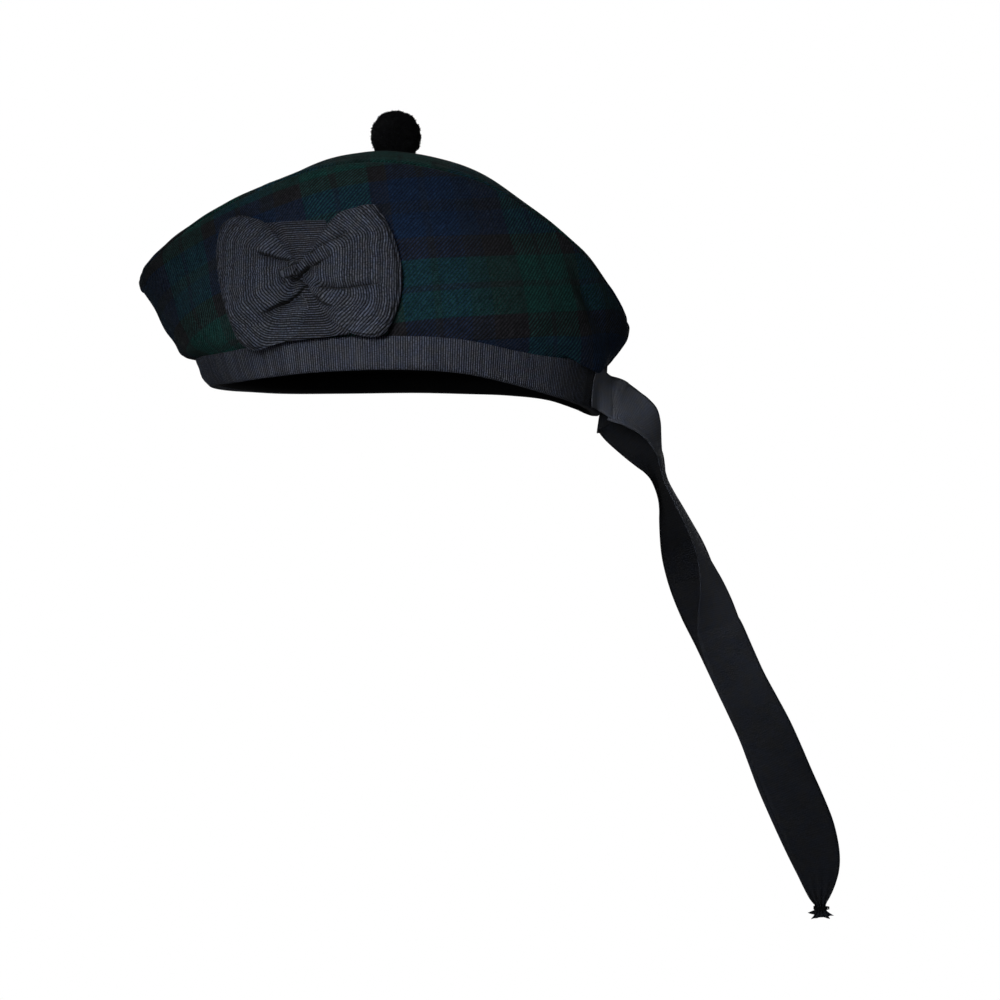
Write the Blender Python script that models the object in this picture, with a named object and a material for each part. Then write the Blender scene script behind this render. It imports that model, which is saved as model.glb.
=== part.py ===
"""A glengarry bonnet in tartan wool.

It has a wool side on each half, a domed crown, a black lining, a rim bound with grosgrain ribbon, a gathered
ribbon rosette, a wool tourie on top and two ribbon tails tied together at their ends.

Units are metres and +Z is up. The bonnet faces -X, so +X is its back and -Y the wearer's left, where the
rosette is. The origin is the middle of the head opening, level with the rim.
"""

import math
from collections import namedtuple

import bpy
import bmesh
from mathutils import Vector

# The head opening, over the wool at the rim
HEAD_LENGTH = 0.195
HEAD_WIDTH = 0.1555
HEAD_SQUARENESS = 0.94
NAPE_DROP = 0.016

# The body above it, to the sharp corner that the rounded ridge is cut from
RIDGE_FRONT = 0.0415
RIDGE_BACK = 0.0185
CROWN_WIDTH = 0.123
CROWN_POINTEDNESS = 1.1
CROWN_HEIGHT = 0.1195
RIDGE_ROUND = 0.010
SIDE_PUFF = 0.009
SWELL_FOOT = 0.14

# Cloth
WALL = 0.0016
LINING = 0.001
BINDING = 0.001
RIBBON = 0.001
GAP = 0.0003

# The bound rim
BAND_HEIGHT = 0.0165
BAND_TURN_IN = 0.009
RIBBON_WIDTH = 0.0254
BACK_EASE = 0.001

# The tails, from the back of the band to the tie
TAIL_REACH = 0.110
TAIL_DROP = 0.2643
TAIL_ROOT = 0.009
TAIL_BEND = 0.004
TAIL_OVERLAP = 0.010
NECK_THICKNESS = 0.0018
TIE_HEIGHT = 0.002
TIE_THREAD = 0.0009

# The rosette, whose heights are shares of the side's height by its knot, from the band to the crown seam
BOW_LENGTH = 0.0875
BOW_RISE_SHARE = 1.042
BOW_THICKNESS = 0.0055
BOW_EDGE = 0.0012
BOW_EASE = 0.0007
KNOT_BACK = -0.0455
KNOT_UP_SHARE = 0.363
STRIP_RISE_SHARE = 0.667
STRIP_TOP_WIDTH = 0.034
STRIP_BOTTOM_WIDTH = 0.030
STRIP_SLANT = -0.22

# The tourie
TOURIE_RADIUS = 0.01275
TOURIE_BACK = -0.0052
TOURIE_SINK = 0.0023

STATIONS = 20
SLIVER = 1e-7

# Along the rim from front to back: its height and how much lower it sags on the wearer's left, in nape drops,
# the outward lean of the band and of the wool under it in degrees, and how far the wool above swells, in side
# puffs
RimRow = namedtuple("RimRow", "along height sag lean puff")
RIM_ROWS = (
    RimRow(0.00, 0.00, 0.00, 31, 0.70),
    RimRow(0.06, 0.01, 0.10, 27, 0.75),
    RimRow(0.14, 0.02, 0.06, 21, 0.82),
    RimRow(0.30, 0.09, 0.00, 12, 0.95),
    RimRow(0.50, 0.14, 0.00, 9, 1.00),
    RimRow(0.65, 0.09, 0.04, 9, 1.00),
    RimRow(0.77, 0.00, 0.22, 10, 0.85),
    RimRow(0.88, -0.22, 0.31, 10, 0.55),
    RimRow(0.96, -0.62, 0.14, 9, 0.25),
    RimRow(1.00, -0.93, 0.00, 9, 0.12),
)

# Along the crown seam from front to back: its height and the height of the crown's middle, in crown heights
RidgeRow = namedtuple("RidgeRow", "along ridge crown")
RIDGE_ROWS = (
    RidgeRow(0.00, 0.450, 0.450),
    RidgeRow(0.06, 0.538, 0.561),
    RidgeRow(0.11, 0.614, 0.648),
    RidgeRow(0.21, 0.722, 0.771),
    RidgeRow(0.31, 0.808, 0.852),
    RidgeRow(0.40, 0.858, 0.950),
    RidgeRow(0.50, 0.874, 0.985),
    RidgeRow(0.60, 0.851, 0.960),
    RidgeRow(0.70, 0.799, 0.886),
    RidgeRow(0.79, 0.700, 0.746),
    RidgeRow(0.89, 0.550, 0.577),
    RidgeRow(0.94, 0.431, 0.453),
    RidgeRow(1.00, 0.246, 0.246),
)

# Up a side from the band to the ridge: how much of the swell it has there
WallRow = namedtuple("WallRow", "along out")
WALL_ROWS = (
    WallRow(0.00, 0.00),
    WallRow(0.05, 0.36),
    WallRow(0.12, 0.66),
    WallRow(0.22, 0.92),
    WallRow(0.36, 1.00),
    WallRow(0.62, 0.72),
    WallRow(0.86, 0.20),
    WallRow(1.00, 0.00),
)

# The rosette's bow around its knot: an angle in degrees, and its reach there, in bow lengths along the band
# and in the bow's share of the side's height up it
BowRow = namedtuple("BowRow", "angle reach")
BOW_ROWS = (
    BowRow(-54, 0.405),
    BowRow(-46, 0.490),
    BowRow(-38, 0.555),
    BowRow(-26, 0.556),
    BowRow(-6, 0.542),
    BowRow(8, 0.533),
    BowRow(27, 0.525),
    BowRow(41, 0.520),
    BowRow(48, 0.470),
    BowRow(58, 0.330),
    BowRow(90, 0.085),
    BowRow(118, 0.290),
    BowRow(128, 0.440),
    BowRow(137, 0.505),
    BowRow(147, 0.550),
    BowRow(160, 0.525),
    BowRow(182, 0.478),
    BowRow(200, 0.474),
    BowRow(217, 0.505),
    BowRow(228, 0.540),
    BowRow(238, 0.520),
    BowRow(247, 0.430),
    BowRow(255, 0.330),
    BowRow(280, 0.085),
)

# Along a tail: back in tail reaches, down in tail drops, side (away from the rosette) in ribbon widths, the
# turn about its own run in degrees, and its gathered width in ribbon widths
TailRow = namedtuple("TailRow", "back down side turn gather")
TAIL_ROWS = {
    "left": (
        TailRow(0.013, 0.014, -0.07, 28, 1.00),
        TailRow(0.077, 0.037, -0.08, 44, 1.00),
        TailRow(0.156, 0.052, -0.09, 42, 0.98),
        TailRow(0.216, 0.079, -0.12, 53, 0.92),
        TailRow(0.247, 0.116, -0.17, 68, 0.82),
        TailRow(0.267, 0.164, -0.27, 77, 0.74),
        TailRow(0.346, 0.226, -0.42, 78, 0.86),
        TailRow(0.407, 0.276, -0.45, 76, 0.98),
        TailRow(0.448, 0.321, -0.46, 73, 1.00),
        TailRow(0.492, 0.373, -0.44, 66, 1.00),
        TailRow(0.511, 0.413, -0.41, 50, 1.00),
        TailRow(0.502, 0.450, -0.15, 12, 1.00),
        TailRow(0.534, 0.477, -0.08, 3, 1.00),
        TailRow(0.638, 0.566, -0.06, 0, 1.00),
        TailRow(0.747, 0.658, -0.06, 0, 1.00),
        TailRow(0.842, 0.751, -0.06, 0, 1.00),
        TailRow(0.933, 0.844, -0.06, 0, 1.00),
        TailRow(0.972, 0.909, -0.06, 0, 0.88),
        TailRow(0.986, 0.948, -0.06, 0, 0.64),
        TailRow(0.991, 0.979, -0.05, 0, 0.36),
        TailRow(0.997, 0.994, -0.042, 0, 0.19),
        TailRow(1.000, 1.006, -0.042, 0, 0.19),
        TailRow(1.002, 1.020, -0.06, 0, 0.42),
    ),
    "right": (
        TailRow(0.034, 0.045, 0.06, 15, 1.00),
        TailRow(0.073, 0.076, 0.06, 40, 1.00),
        TailRow(0.161, 0.104, 0.05, 42, 1.00),
        TailRow(0.221, 0.132, 0.05, 50, 0.92),
        TailRow(0.254, 0.164, 0.05, 63, 0.75),
        TailRow(0.280, 0.207, 0.06, 64, 0.75),
        TailRow(0.312, 0.241, 0.06, 50, 0.90),
        TailRow(0.349, 0.288, 0.06, 33, 1.00),
        TailRow(0.385, 0.334, 0.06, 15, 1.00),
        TailRow(0.423, 0.380, 0.06, 5, 1.00),
        TailRow(0.471, 0.427, 0.06, 2, 1.00),
        TailRow(0.527, 0.473, 0.06, 0, 1.00),
        TailRow(0.629, 0.566, 0.06, 0, 1.00),
        TailRow(0.735, 0.658, 0.06, 0, 1.00),
        TailRow(0.820, 0.751, 0.06, 0, 1.00),
        TailRow(0.914, 0.844, 0.06, 0, 1.00),
        TailRow(0.965, 0.909, 0.06, 0, 0.88),
        TailRow(0.982, 0.948, 0.06, 0, 0.64),
        TailRow(0.990, 0.979, 0.05, 0, 0.36),
        TailRow(0.997, 0.994, 0.042, 0, 0.19),
        TailRow(1.000, 1.006, 0.042, 0, 0.19),
        TailRow(0.996, 1.020, 0.06, 0, 0.42),
    ),
}
NECK_ROW = -3

# A finish: its name, linear colour and roughness
Finish = namedtuple("Finish", "name color roughness")
TARTAN = Finish("tartan_wool", (0.008, 0.018, 0.020), 0.95)
GROSGRAIN = Finish("grosgrain", (0.024, 0.027, 0.034), 0.75)
TAIL_GROSGRAIN = Finish("tail_grosgrain", (0.014, 0.016, 0.020), 0.75)
LINING_CLOTH = Finish("lining_cloth", (0.002, 0.002, 0.002), 0.90)
YARN = Finish("tourie_yarn", (0.003, 0.003, 0.004), 1.0)
THREAD = Finish("tie_thread", (0.005, 0.005, 0.006), 0.9)

# Zones of the skin, counted up a meridian from the rim to the top of the crown
BAND_TOP = 1
RIDGE_START = 2
SEAM = 3
RIDGE_END = 4
TOP = 5
HEM_SAMPLES = (0.0, 0.5)
WALL_SAMPLES = (0.0, 0.04, 0.10, 0.20, 0.35, 0.50, 0.66, 0.82)
RIDGE_SAMPLE = 0.5
CROWN_SAMPLES = (0.0, 0.14, 0.30, 0.48, 0.66, 0.84)


def clear_scene():
    for obj in list(bpy.data.objects):
        bpy.data.objects.remove(obj, do_unlink=True)


def read_column(rows, column, share, key="along"):
    """A smooth curve through one column of a table, at a share of the way along it."""
    keys = [getattr(row, key) for row in rows]
    values = [getattr(row, column) for row in rows]
    share = min(max(share, keys[0]), keys[-1])
    i = 0
    while i < len(keys) - 2 and share > keys[i + 1]:
        i += 1

    def slope(k):
        low = max(k - 1, 0)
        high = min(k + 1, len(keys) - 1)
        return (values[high] - values[low]) / (keys[high] - keys[low])

    span = keys[i + 1] - keys[i]
    t = (share - keys[i]) / span
    from_start = (1 + 2 * t) * (1 - t) ** 2 * values[i] + t * (1 - t) ** 2 * span * slope(i)
    from_end = t * t * (3 - 2 * t) * values[i + 1] + t * t * (t - 1) * span * slope(i + 1)
    return from_start + from_end


def signed_power(value, power):
    return math.copysign(abs(value) ** power, value)


def rim_share(phi):
    return (1 - signed_power(math.cos(phi), HEAD_SQUARENESS)) / 2


def rim_point(phi):
    """The wool's lower edge. phi is 0 at the front, and pi at the back by the wearer's left."""
    share = rim_share(phi)
    x = HEAD_LENGTH * (share - 0.5)
    y = -HEAD_WIDTH / 2 * signed_power(math.sin(phi), HEAD_SQUARENESS)
    height = read_column(RIM_ROWS, "height", share)
    if y < 0:
        height -= read_column(RIM_ROWS, "sag", share)
    return Vector((x, y, NAPE_DROP * height))


def rim_outward(phi):
    point = rim_point(phi)
    return Vector((point.x / HEAD_LENGTH**2, point.y / HEAD_WIDTH**2, 0)).normalized()


def hem_height(phi):
    """How far the band covers the wool. It grows to the whole width of the band's ribbon at the back."""
    unfolded = max(0.0, (rim_share(phi) - 0.75) / 0.25) ** 2
    fold = GAP + BINDING
    return BAND_HEIGHT + (RIBBON_WIDTH + BACK_EASE - BAND_HEIGHT) * unfolded - fold


def hem_point(phi, share):
    """The wool under the band, from the rim at 0 to the band's top edge at 1."""
    lean = math.radians(read_column(RIM_ROWS, "lean", rim_share(phi)))
    up = rim_outward(phi) * math.sin(lean) + Vector((0, 0, math.cos(lean)))
    return rim_point(phi) + up * hem_height(phi) * share


def ridge_front_x():
    return -HEAD_LENGTH / 2 - RIDGE_FRONT


def ridge_length():
    return HEAD_LENGTH + RIDGE_FRONT + RIDGE_BACK


def crown_half_width(share):
    return CROWN_WIDTH / 2 * (2 * math.sqrt(max(share * (1 - share), 0))) ** CROWN_POINTEDNESS


def crown_point(x, y):
    """The domed crown over a place in the plan."""
    share = min(max((x - ridge_front_x()) / ridge_length(), 0), 1)
    across = min(abs(y) / max(crown_half_width(share), SLIVER), 1)
    ridge = read_column(RIDGE_ROWS, "ridge", share)
    dome = read_column(RIDGE_ROWS, "crown", share) - ridge
    return Vector((x, y, CROWN_HEIGHT * (ridge + dome * (1 - across**2))))


def ridge_corner(phi):
    """The sharp corner between side and crown, which the rounding stays inside."""
    share = (1 - math.cos(phi)) / 2
    x = ridge_front_x() + ridge_length() * share
    y = -CROWN_WIDTH / 2 * signed_power(math.sin(phi), CROWN_POINTEDNESS)
    return Vector((x, y, CROWN_HEIGHT * read_column(RIDGE_ROWS, "ridge", share)))


def wall_point(phi, share):
    """The side from the band's top edge at 0 to the sharp corner at 1."""
    puff = SIDE_PUFF * read_column(RIM_ROWS, "puff", rim_share(phi))
    swell = rim_outward(phi) * puff * read_column(WALL_ROWS, "out", share)
    return hem_point(phi, 1).lerp(ridge_corner(phi), share) + swell


def crown_meridian(phi, share):
    """The crown from the sharp corner at 0 to its middle at 1."""
    corner = ridge_corner(phi)
    middle = Vector((ridge_front_x() + ridge_length() / 2, 0, 0))
    place = corner.lerp(middle, share)
    return crown_point(place.x, place.y)


def wall_round_share(phi):
    return RIDGE_ROUND / (ridge_corner(phi) - hem_point(phi, 1)).length


def crown_round_share(phi):
    corner = ridge_corner(phi)
    middle = Vector((ridge_front_x() + ridge_length() / 2, 0, corner.z))
    return RIDGE_ROUND / (corner - middle).length


def skin(phi, v):
    """The outside of the wool: up the hem, the side, over the rounded ridge and in across the crown."""
    if v <= BAND_TOP:
        return hem_point(phi, v)
    wall_end = 1 - wall_round_share(phi)
    if v <= RIDGE_START:
        return wall_point(phi, (v - BAND_TOP) * wall_end)
    crown_start = crown_round_share(phi)
    if v >= RIDGE_END:
        return crown_meridian(phi, crown_start + (v - RIDGE_END) * (1 - crown_start))
    t = (v - RIDGE_START) / (RIDGE_END - RIDGE_START)
    below = wall_point(phi, wall_end)
    above = crown_meridian(phi, crown_start)
    return below * (1 - t) ** 2 + ridge_corner(phi) * 2 * t * (1 - t) + above * t**2


def skin_up(phi, v):
    step = 1e-3
    return skin(phi, min(v + step, TOP)) - skin(phi, max(v - step, 0))


def skin_normal(phi, v):
    if v >= TOP:
        return Vector((0, 0, 1))
    step = 1e-3
    around = skin(phi + step, v) - skin(phi - step, v)
    return around.cross(skin_up(phi, v)).normalized()


def layer(phi, v, out):
    """A point that lies a distance outside the wool's surface, or inside it where that is negative."""
    return skin(phi, v) + skin_normal(phi, v) * out


def beside_seam(phi, direction):
    """The place on a meridian that is half a gap from the crown seam."""
    step = 1e-3
    speed = (skin(phi, SEAM + step) - skin(phi, SEAM - step)).length / (2 * step)
    return SEAM + direction * GAP / 2 / speed


def side_rows(phi):
    rows = list(HEM_SAMPLES)
    rows += [BAND_TOP + share for share in WALL_SAMPLES]
    return rows + [RIDGE_START, RIDGE_START + RIDGE_SAMPLE, beside_seam(phi, -1)]


def crown_rows(phi):
    rows = [beside_seam(phi, 1), SEAM + RIDGE_SAMPLE]
    return rows + [RIDGE_END + share for share in CROWN_SAMPLES] + [TOP]


def shell_loop(phi, rows, outer, inner):
    outside = [layer(phi, v, outer) for v in rows]
    inside = [layer(phi, v, inner) for v in reversed(rows)]
    return outside + inside


def ring_angles():
    return [math.pi * i / STATIONS for i in range(2 * STATIONS)]


def make_material(finish):
    material = bpy.data.materials.get(finish.name) or bpy.data.materials.new(finish.name)
    material.use_nodes = True
    shader = material.node_tree.nodes["Principled BSDF"]
    shader.inputs["Base Color"].default_value = (*finish.color, 1)
    shader.inputs["Roughness"].default_value = finish.roughness
    shader.inputs["Metallic"].default_value = 0
    return material


def make_object(name, bm, finish):
    bmesh.ops.remove_doubles(bm, verts=bm.verts, dist=SLIVER)
    bmesh.ops.recalc_face_normals(bm, faces=bm.faces)
    mesh = bpy.data.meshes.new(name)
    bm.to_mesh(mesh)
    bm.free()
    mesh.materials.append(make_material(finish))
    mesh.shade_smooth()
    obj = bpy.data.objects.new(name, mesh)
    bpy.context.collection.objects.link(obj)
    return obj


def add_triangles(bm, corners, flipped):
    """A quad as two triangles. flipped takes its other diagonal."""
    a, b, c, d = corners
    if flipped:
        a, b, c, d = b, c, d, a
    bm.faces.new((a, b, c))
    bm.faces.new((a, c, d))


def sweep(name, loops, finish, ring):
    """A closed solid through loops of as many points each, as a ring or with an end cap at each end.

    A cap pairs a loop's points from its two ends, so an open sweep has an even number in each loop. The
    diagonals match on a shell's two faces and on its left and right halves, so that layers stay apart.
    """
    bm = bmesh.new()
    verts = [[bm.verts.new(point) for point in loop] for loop in loops]
    size = len(loops[0])
    pairs = list(zip(verts, verts[1:]))
    if ring:
        pairs.append((verts[-1], verts[0]))
    for i, (near, far) in enumerate(pairs):
        right_half = ring and i >= len(pairs) // 2
        for k in range(size):
            after = (k + 1) % size
            inner_face = k >= size // 2
            add_triangles(bm, (near[k], near[after], far[after], far[k]), inner_face != right_half)
    if not ring:
        for loop in (verts[0], verts[-1]):
            for k in range(size // 2 - 1):
                bm.faces.new((loop[k], loop[k + 1], loop[size - 2 - k], loop[size - 1 - k]))
    return make_object(name, bm, finish)


def make_side(name, hand):
    """One side panel, cut half a gap short of the seams at the front and back. hand is -1 for the left."""
    loops = []
    for i in range(STATIONS + 1):
        phi = -hand * math.pi * i / STATIONS
        loop = shell_loop(phi, side_rows(phi), 0, -WALL)
        for point in loop:
            point.y = hand * max(hand * point.y, GAP / 2)
        loops.append(loop)
    return sweep(name, loops, TARTAN, ring=False)


def make_crown():
    loops = [shell_loop(phi, crown_rows(phi), 0, -WALL) for phi in ring_angles()]
    return sweep("crown", loops, TARTAN, ring=True)


def make_lining():
    outer = -WALL - GAP
    loops = []
    for phi in ring_angles():
        rows = side_rows(phi)[:-1] + [SEAM] + crown_rows(phi)[1:]
        loops.append(shell_loop(phi, rows, outer, outer - LINING))
    return sweep("lining", loops, LINING_CLOTH, ring=True)


def hem_layer(phi, share, out, below=0):
    """A place by the hem: up it by a share, outside it by out and beneath the rim by below."""
    up = skin_up(phi, BAND_TOP / 2).normalized()
    return hem_point(phi, share) + skin_normal(phi, BAND_TOP / 2) * out - up * below


def band_outside():
    return GAP + BINDING


def make_band():
    """The ribbon bound over the rim: an outer leg, the fold below and a leg turned in over the lining."""
    outer = band_outside()
    inner = -WALL - GAP - LINING - GAP
    under = GAP + BINDING
    loops = []
    for phi in ring_angles():
        top = 1 - GAP / hem_height(phi)
        turn_in = BAND_TURN_IN / hem_height(phi)
        outside = [(top, outer, 0), (0.66, outer, 0), (0.33, outer, 0), (0, outer, 0)]
        fold = [(0, outer - BINDING / 2, under * 0.8), (0, inner - BINDING / 2, under * 0.8)]
        inside = [(0, inner - BINDING, 0), (turn_in, inner - BINDING, 0)]
        returning = [(turn_in, inner, 0), (0, inner, 0), (0, inner, GAP), (0, GAP, GAP)]
        up_again = [(0, GAP, 0), (0.33, GAP, 0), (0.66, GAP, 0), (top, GAP, 0)]
        places = outside + fold + inside + returning + up_again
        loops.append([hem_layer(phi, *place) for place in places])
    return sweep("band", loops, GROSGRAIN, ring=True)


def wall_place(x, z):
    """The (phi, v) of the place on the left side that lies at x and z, by Newton's method.

    Below the wool's swell it stays at the swell's foot, where what is sewn on hangs straight down.
    """
    lowest = BAND_TOP + SWELL_FOOT
    phi = math.pi / 2
    v = BAND_TOP + 0.5
    step = 1e-4
    for _ in range(20):
        here = skin(phi, v)
        by_phi = (skin(phi + step, v) - here) / step
        by_v = (skin(phi, v + step) - here) / step
        miss_x = x - here.x
        miss_z = z - here.z
        area = by_phi.x * by_v.z - by_phi.z * by_v.x
        v += (by_phi.x * miss_z - by_phi.z * miss_x) / area
        if v > lowest:
            phi += (miss_x * by_v.z - miss_z * by_v.x) / area
        else:
            v = lowest
            phi += (x - skin(phi, v).x) / by_phi.x
    return phi, v


def wall_rise():
    """The side's height by the rosette's knot, from the band's top to the crown seam's level."""
    share = (KNOT_BACK - ridge_front_x()) / ridge_length()
    return CROWN_HEIGHT * read_column(RIDGE_ROWS, "ridge", share) - BAND_HEIGHT


def on_wall(back, up, out):
    """A point by the rosette: back from its knot, up in shares of the side's height, and a distance off the wool."""
    height = BAND_HEIGHT + wall_rise() * (KNOT_UP_SHARE + up)
    phi, v = wall_place(KNOT_BACK + back, height)
    point = layer(phi, v, out)
    if v <= BAND_TOP + SWELL_FOOT:
        point = skin(phi, v) + rim_outward(phi) * out
        point.z = height
    return point


def bow_reach(angle):
    rows = BOW_ROWS + (BowRow(BOW_ROWS[0].angle + 360, BOW_ROWS[0].reach),)
    return read_column(rows, "reach", angle, key="angle")


def make_rosette_bow():
    """The bow's two lobes, as one crowned slab over the strip."""
    seat = GAP + RIBBON + BOW_EASE
    rings = (0.0, 0.25, 0.5, 0.75, 0.93)
    loops = []
    for step in range(0, 360, 9):
        angle = BOW_ROWS[0].angle + step
        back = bow_reach(angle) * math.cos(math.radians(angle)) * BOW_LENGTH
        up = bow_reach(angle) * math.sin(math.radians(angle)) * BOW_RISE_SHARE
        top = []
        under = []
        for ring in rings:
            thickness = BOW_EDGE + (BOW_THICKNESS - BOW_EDGE) * (1 - ring**2)
            top.append(on_wall(back * ring, up * ring, seat + thickness))
            under.append(on_wall(back * ring, up * ring, seat))
        rim = [on_wall(back, up, seat + BOW_EDGE * edge) for edge in (0.6, 0.1)]
        loops.append(top + rim + under[::-1])
    return sweep("rosette_bow", loops, GROSGRAIN, ring=True)


def make_rosette_strip():
    """The upright strip behind the knot, which shows above and below it."""
    slant = wall_rise() * STRIP_RISE_SHARE * STRIP_SLANT
    loops = []
    for across in (-0.5, -0.25, 0.0, 0.25, 0.5):
        front = []
        for up in (0.5, 0.3, 0.1, -0.1, -0.3, -0.5):
            width = STRIP_BOTTOM_WIDTH + (STRIP_TOP_WIDTH - STRIP_BOTTOM_WIDTH) * (up + 0.5)
            front.append((across * width + up * slant, up * STRIP_RISE_SHARE))
        outside = [on_wall(back, up, GAP + RIBBON) for back, up in front]
        inside = [on_wall(back, up, GAP) for back, up in reversed(front)]
        loops.append(outside + inside)
    return sweep("rosette_strip", loops, GROSGRAIN, ring=False)


def make_tourie():
    """The wool ball on the crown, flat where it sits."""
    top_of_crown = crown_point(TOURIE_BACK, 0).z
    centre = Vector((TOURIE_BACK, 0, top_of_crown + TOURIE_RADIUS - TOURIE_SINK))
    turns = 18
    rings = 12
    loops = []
    for i in range(turns):
        around = 2 * math.pi * i / turns
        loop = []
        for j in range(rings + 1):
            down = math.pi * j / rings
            reach = TOURIE_RADIUS * math.sin(down)
            offset = Vector((reach * math.cos(around), reach * math.sin(around), TOURIE_RADIUS * math.cos(down)))
            point = centre + offset
            point.z = max(point.z, crown_point(point.x, point.y).z + GAP)
            loop.append(point)
        loops.append(loop)
    bm = bmesh.new()
    verts = [[bm.verts.new(point) for point in loop] for loop in loops]
    for i in range(turns):
        after = (i + 1) % turns
        for j in range(rings):
            bm.faces.new((verts[i][j], verts[i][j + 1], verts[after][j + 1], verts[after][j]))
    return make_object("tourie", bm, YARN)


def tail_anchor():
    """Where the tails leave the band, at the middle of its back."""
    return hem_layer(math.pi, 0.5, band_outside())


def tail_centre(row_values):
    back, down, side = row_values
    anchor = tail_anchor()
    return anchor + Vector((TAIL_REACH * back, RIBBON_WIDTH * side, -TAIL_DROP * down))


def tail_value(rows, column, place):
    """One column of a tail's rows, at a place counted in rows."""
    Numbered = namedtuple("Numbered", "along value")
    numbered = [Numbered(i, getattr(row, column)) for i, row in enumerate(rows)]
    return read_column(numbered, "value", place)


def tail_thickness(gather):
    """Ribbon that is gathered narrower is pleated thicker, up to the neck's thickness."""
    return RIBBON + (NECK_THICKNESS - RIBBON) * min(1, max(0, (0.9 - gather) / 0.6))


def ribbon_loop(centre, across, normal, width, thickness):
    """A ribbon's section: three points along each face."""
    near = [centre + across * width * share + normal * thickness / 2 for share in (0.5, 0.0, -0.5)]
    far = [centre + across * width * share - normal * thickness / 2 for share in (-0.5, 0.0, 0.5)]
    return near + far


def tail_root_loops(hand, sunk):
    """The start of a tail, flat on the outside of the band beside its middle."""
    out = band_outside() + GAP + RIBBON / 2
    loops = []
    for distance in (TAIL_ROOT, TAIL_BEND):
        turn = (distance / (HEAD_WIDTH / 2)) ** (1 / HEAD_SQUARENESS)
        phi = math.pi + hand * turn
        across = skin_up(phi, BAND_TOP / 2).normalized()
        normal = skin_normal(phi, BAND_TOP / 2)
        centre = hem_layer(phi, 0.5, out) - across * sunk
        loops.append(ribbon_loop(centre, across, normal, RIBBON_WIDTH, RIBBON))
    return loops


def make_tail(name, rows, hand, sunk):
    """One tail, from its root on the band, through the twist and down to the tie and its flared end.

    hand is -1 for the tail on the rosette's side and 1 for the other, and sunk is how far its root hangs
    below the band's ribbon.
    """
    steps = 2 * (len(rows) - 1)
    places = [0.5 * i for i in range(steps + 1)]
    centres = []
    for place in places:
        centres.append(tail_centre([tail_value(rows, c, place) for c in ("back", "down", "side")]))
    loops = tail_root_loops(hand, sunk)
    for i, place in enumerate(places):
        run = Vector((1, 0, 0))
        if i > 0:
            run = centres[min(i + 1, steps)] - centres[i - 1]
        run.y = 0
        run.normalize()
        turn = math.radians(tail_value(rows, "turn", place))
        flat = Vector((-run.z, 0, run.x))
        across = flat * math.cos(turn) + Vector((0, math.sin(turn), 0))
        normal = run.cross(across).normalized() * -hand
        gather = tail_value(rows, "gather", place)
        loop = ribbon_loop(centres[i], across, normal, RIBBON_WIDTH * gather, tail_thickness(gather))
        loops.append(loop)
    return sweep(name, loops, TAIL_GROSGRAIN, ring=False)


def make_tail_tie():
    """The thread bound round both tails at their neck, with round corners."""
    above, below = TAIL_ROWS["left"][NECK_ROW : NECK_ROW + 2]
    centre = tail_centre(((above.back + below.back) / 2, (above.down + below.down) / 2, 0))
    half_width = RIBBON_WIDTH * above.gather / 2
    half_depth = RIBBON_WIDTH * abs(above.side) + NECK_THICKNESS / 2
    section = ((0, 0.5), (1, 0.3), (1, -0.3), (0, -0.5))
    corner_steps = 4
    loops = []
    for corner_x, corner_y, start in ((1, 1, 0), (-1, 1, 90), (-1, -1, 180), (1, -1, 270)):
        for step in range(corner_steps + 1):
            angle = math.radians(start + 90 * step / corner_steps)
            loop = []
            for out, up in section:
                reach = GAP + out * TIE_THREAD
                x = corner_x * half_width + reach * math.cos(angle)
                y = corner_y * half_depth + reach * math.sin(angle)
                loop.append(centre + Vector((x, y, up * TIE_HEIGHT)))
            loops.append(loop)
    return sweep("tail_tie", loops, THREAD, ring=True)


def main():
    clear_scene()
    make_side("side_left", -1)
    make_side("side_right", 1)
    make_crown()
    make_lining()
    make_band()
    make_rosette_strip()
    make_rosette_bow()
    make_tourie()
    make_tail("tail_left", TAIL_ROWS["left"], -1, 0)
    make_tail("tail_right", TAIL_ROWS["right"], 1, TAIL_OVERLAP)
    make_tail_tie()


main()
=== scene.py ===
"""The looks of a tartan wool bonnet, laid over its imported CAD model.

Lengths are in metres and +Z is up. The bonnet faces -X, and -Y is the wearer's left, where the rosette is.
phi goes round the head from 0 at the front to pi at the back by the wearer's left. v goes up the wool: 0 at
the rim, 1 at the band's top, 3 at the crown seam and 5 at the crown's middle.
"""

import math
from collections import namedtuple
from functools import reduce

import bpy
import numpy as np
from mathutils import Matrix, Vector


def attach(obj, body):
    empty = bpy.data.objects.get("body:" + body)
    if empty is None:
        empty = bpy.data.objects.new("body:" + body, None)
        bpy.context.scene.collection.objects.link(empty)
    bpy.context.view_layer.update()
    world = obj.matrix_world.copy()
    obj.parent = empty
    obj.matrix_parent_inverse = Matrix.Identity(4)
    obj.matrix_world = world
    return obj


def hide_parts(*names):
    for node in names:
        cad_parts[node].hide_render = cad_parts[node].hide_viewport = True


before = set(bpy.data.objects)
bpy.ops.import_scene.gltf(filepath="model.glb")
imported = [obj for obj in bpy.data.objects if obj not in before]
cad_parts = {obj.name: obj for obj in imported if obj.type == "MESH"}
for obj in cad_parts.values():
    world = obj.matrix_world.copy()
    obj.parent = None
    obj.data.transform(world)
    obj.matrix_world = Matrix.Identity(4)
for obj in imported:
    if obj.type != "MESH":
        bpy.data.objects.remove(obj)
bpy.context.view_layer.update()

# The head opening and the body above it, as in the CAD
HEAD_LENGTH = 0.195
HEAD_WIDTH = 0.1555
HEAD_SQUARENESS = 0.94
NAPE_DROP = 0.016
RIDGE_FRONT = 0.0415
RIDGE_BACK = 0.0185
CROWN_WIDTH = 0.123
CROWN_POINTEDNESS = 1.1
CROWN_HEIGHT = 0.1195
RIDGE_ROUND = 0.010
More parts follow.
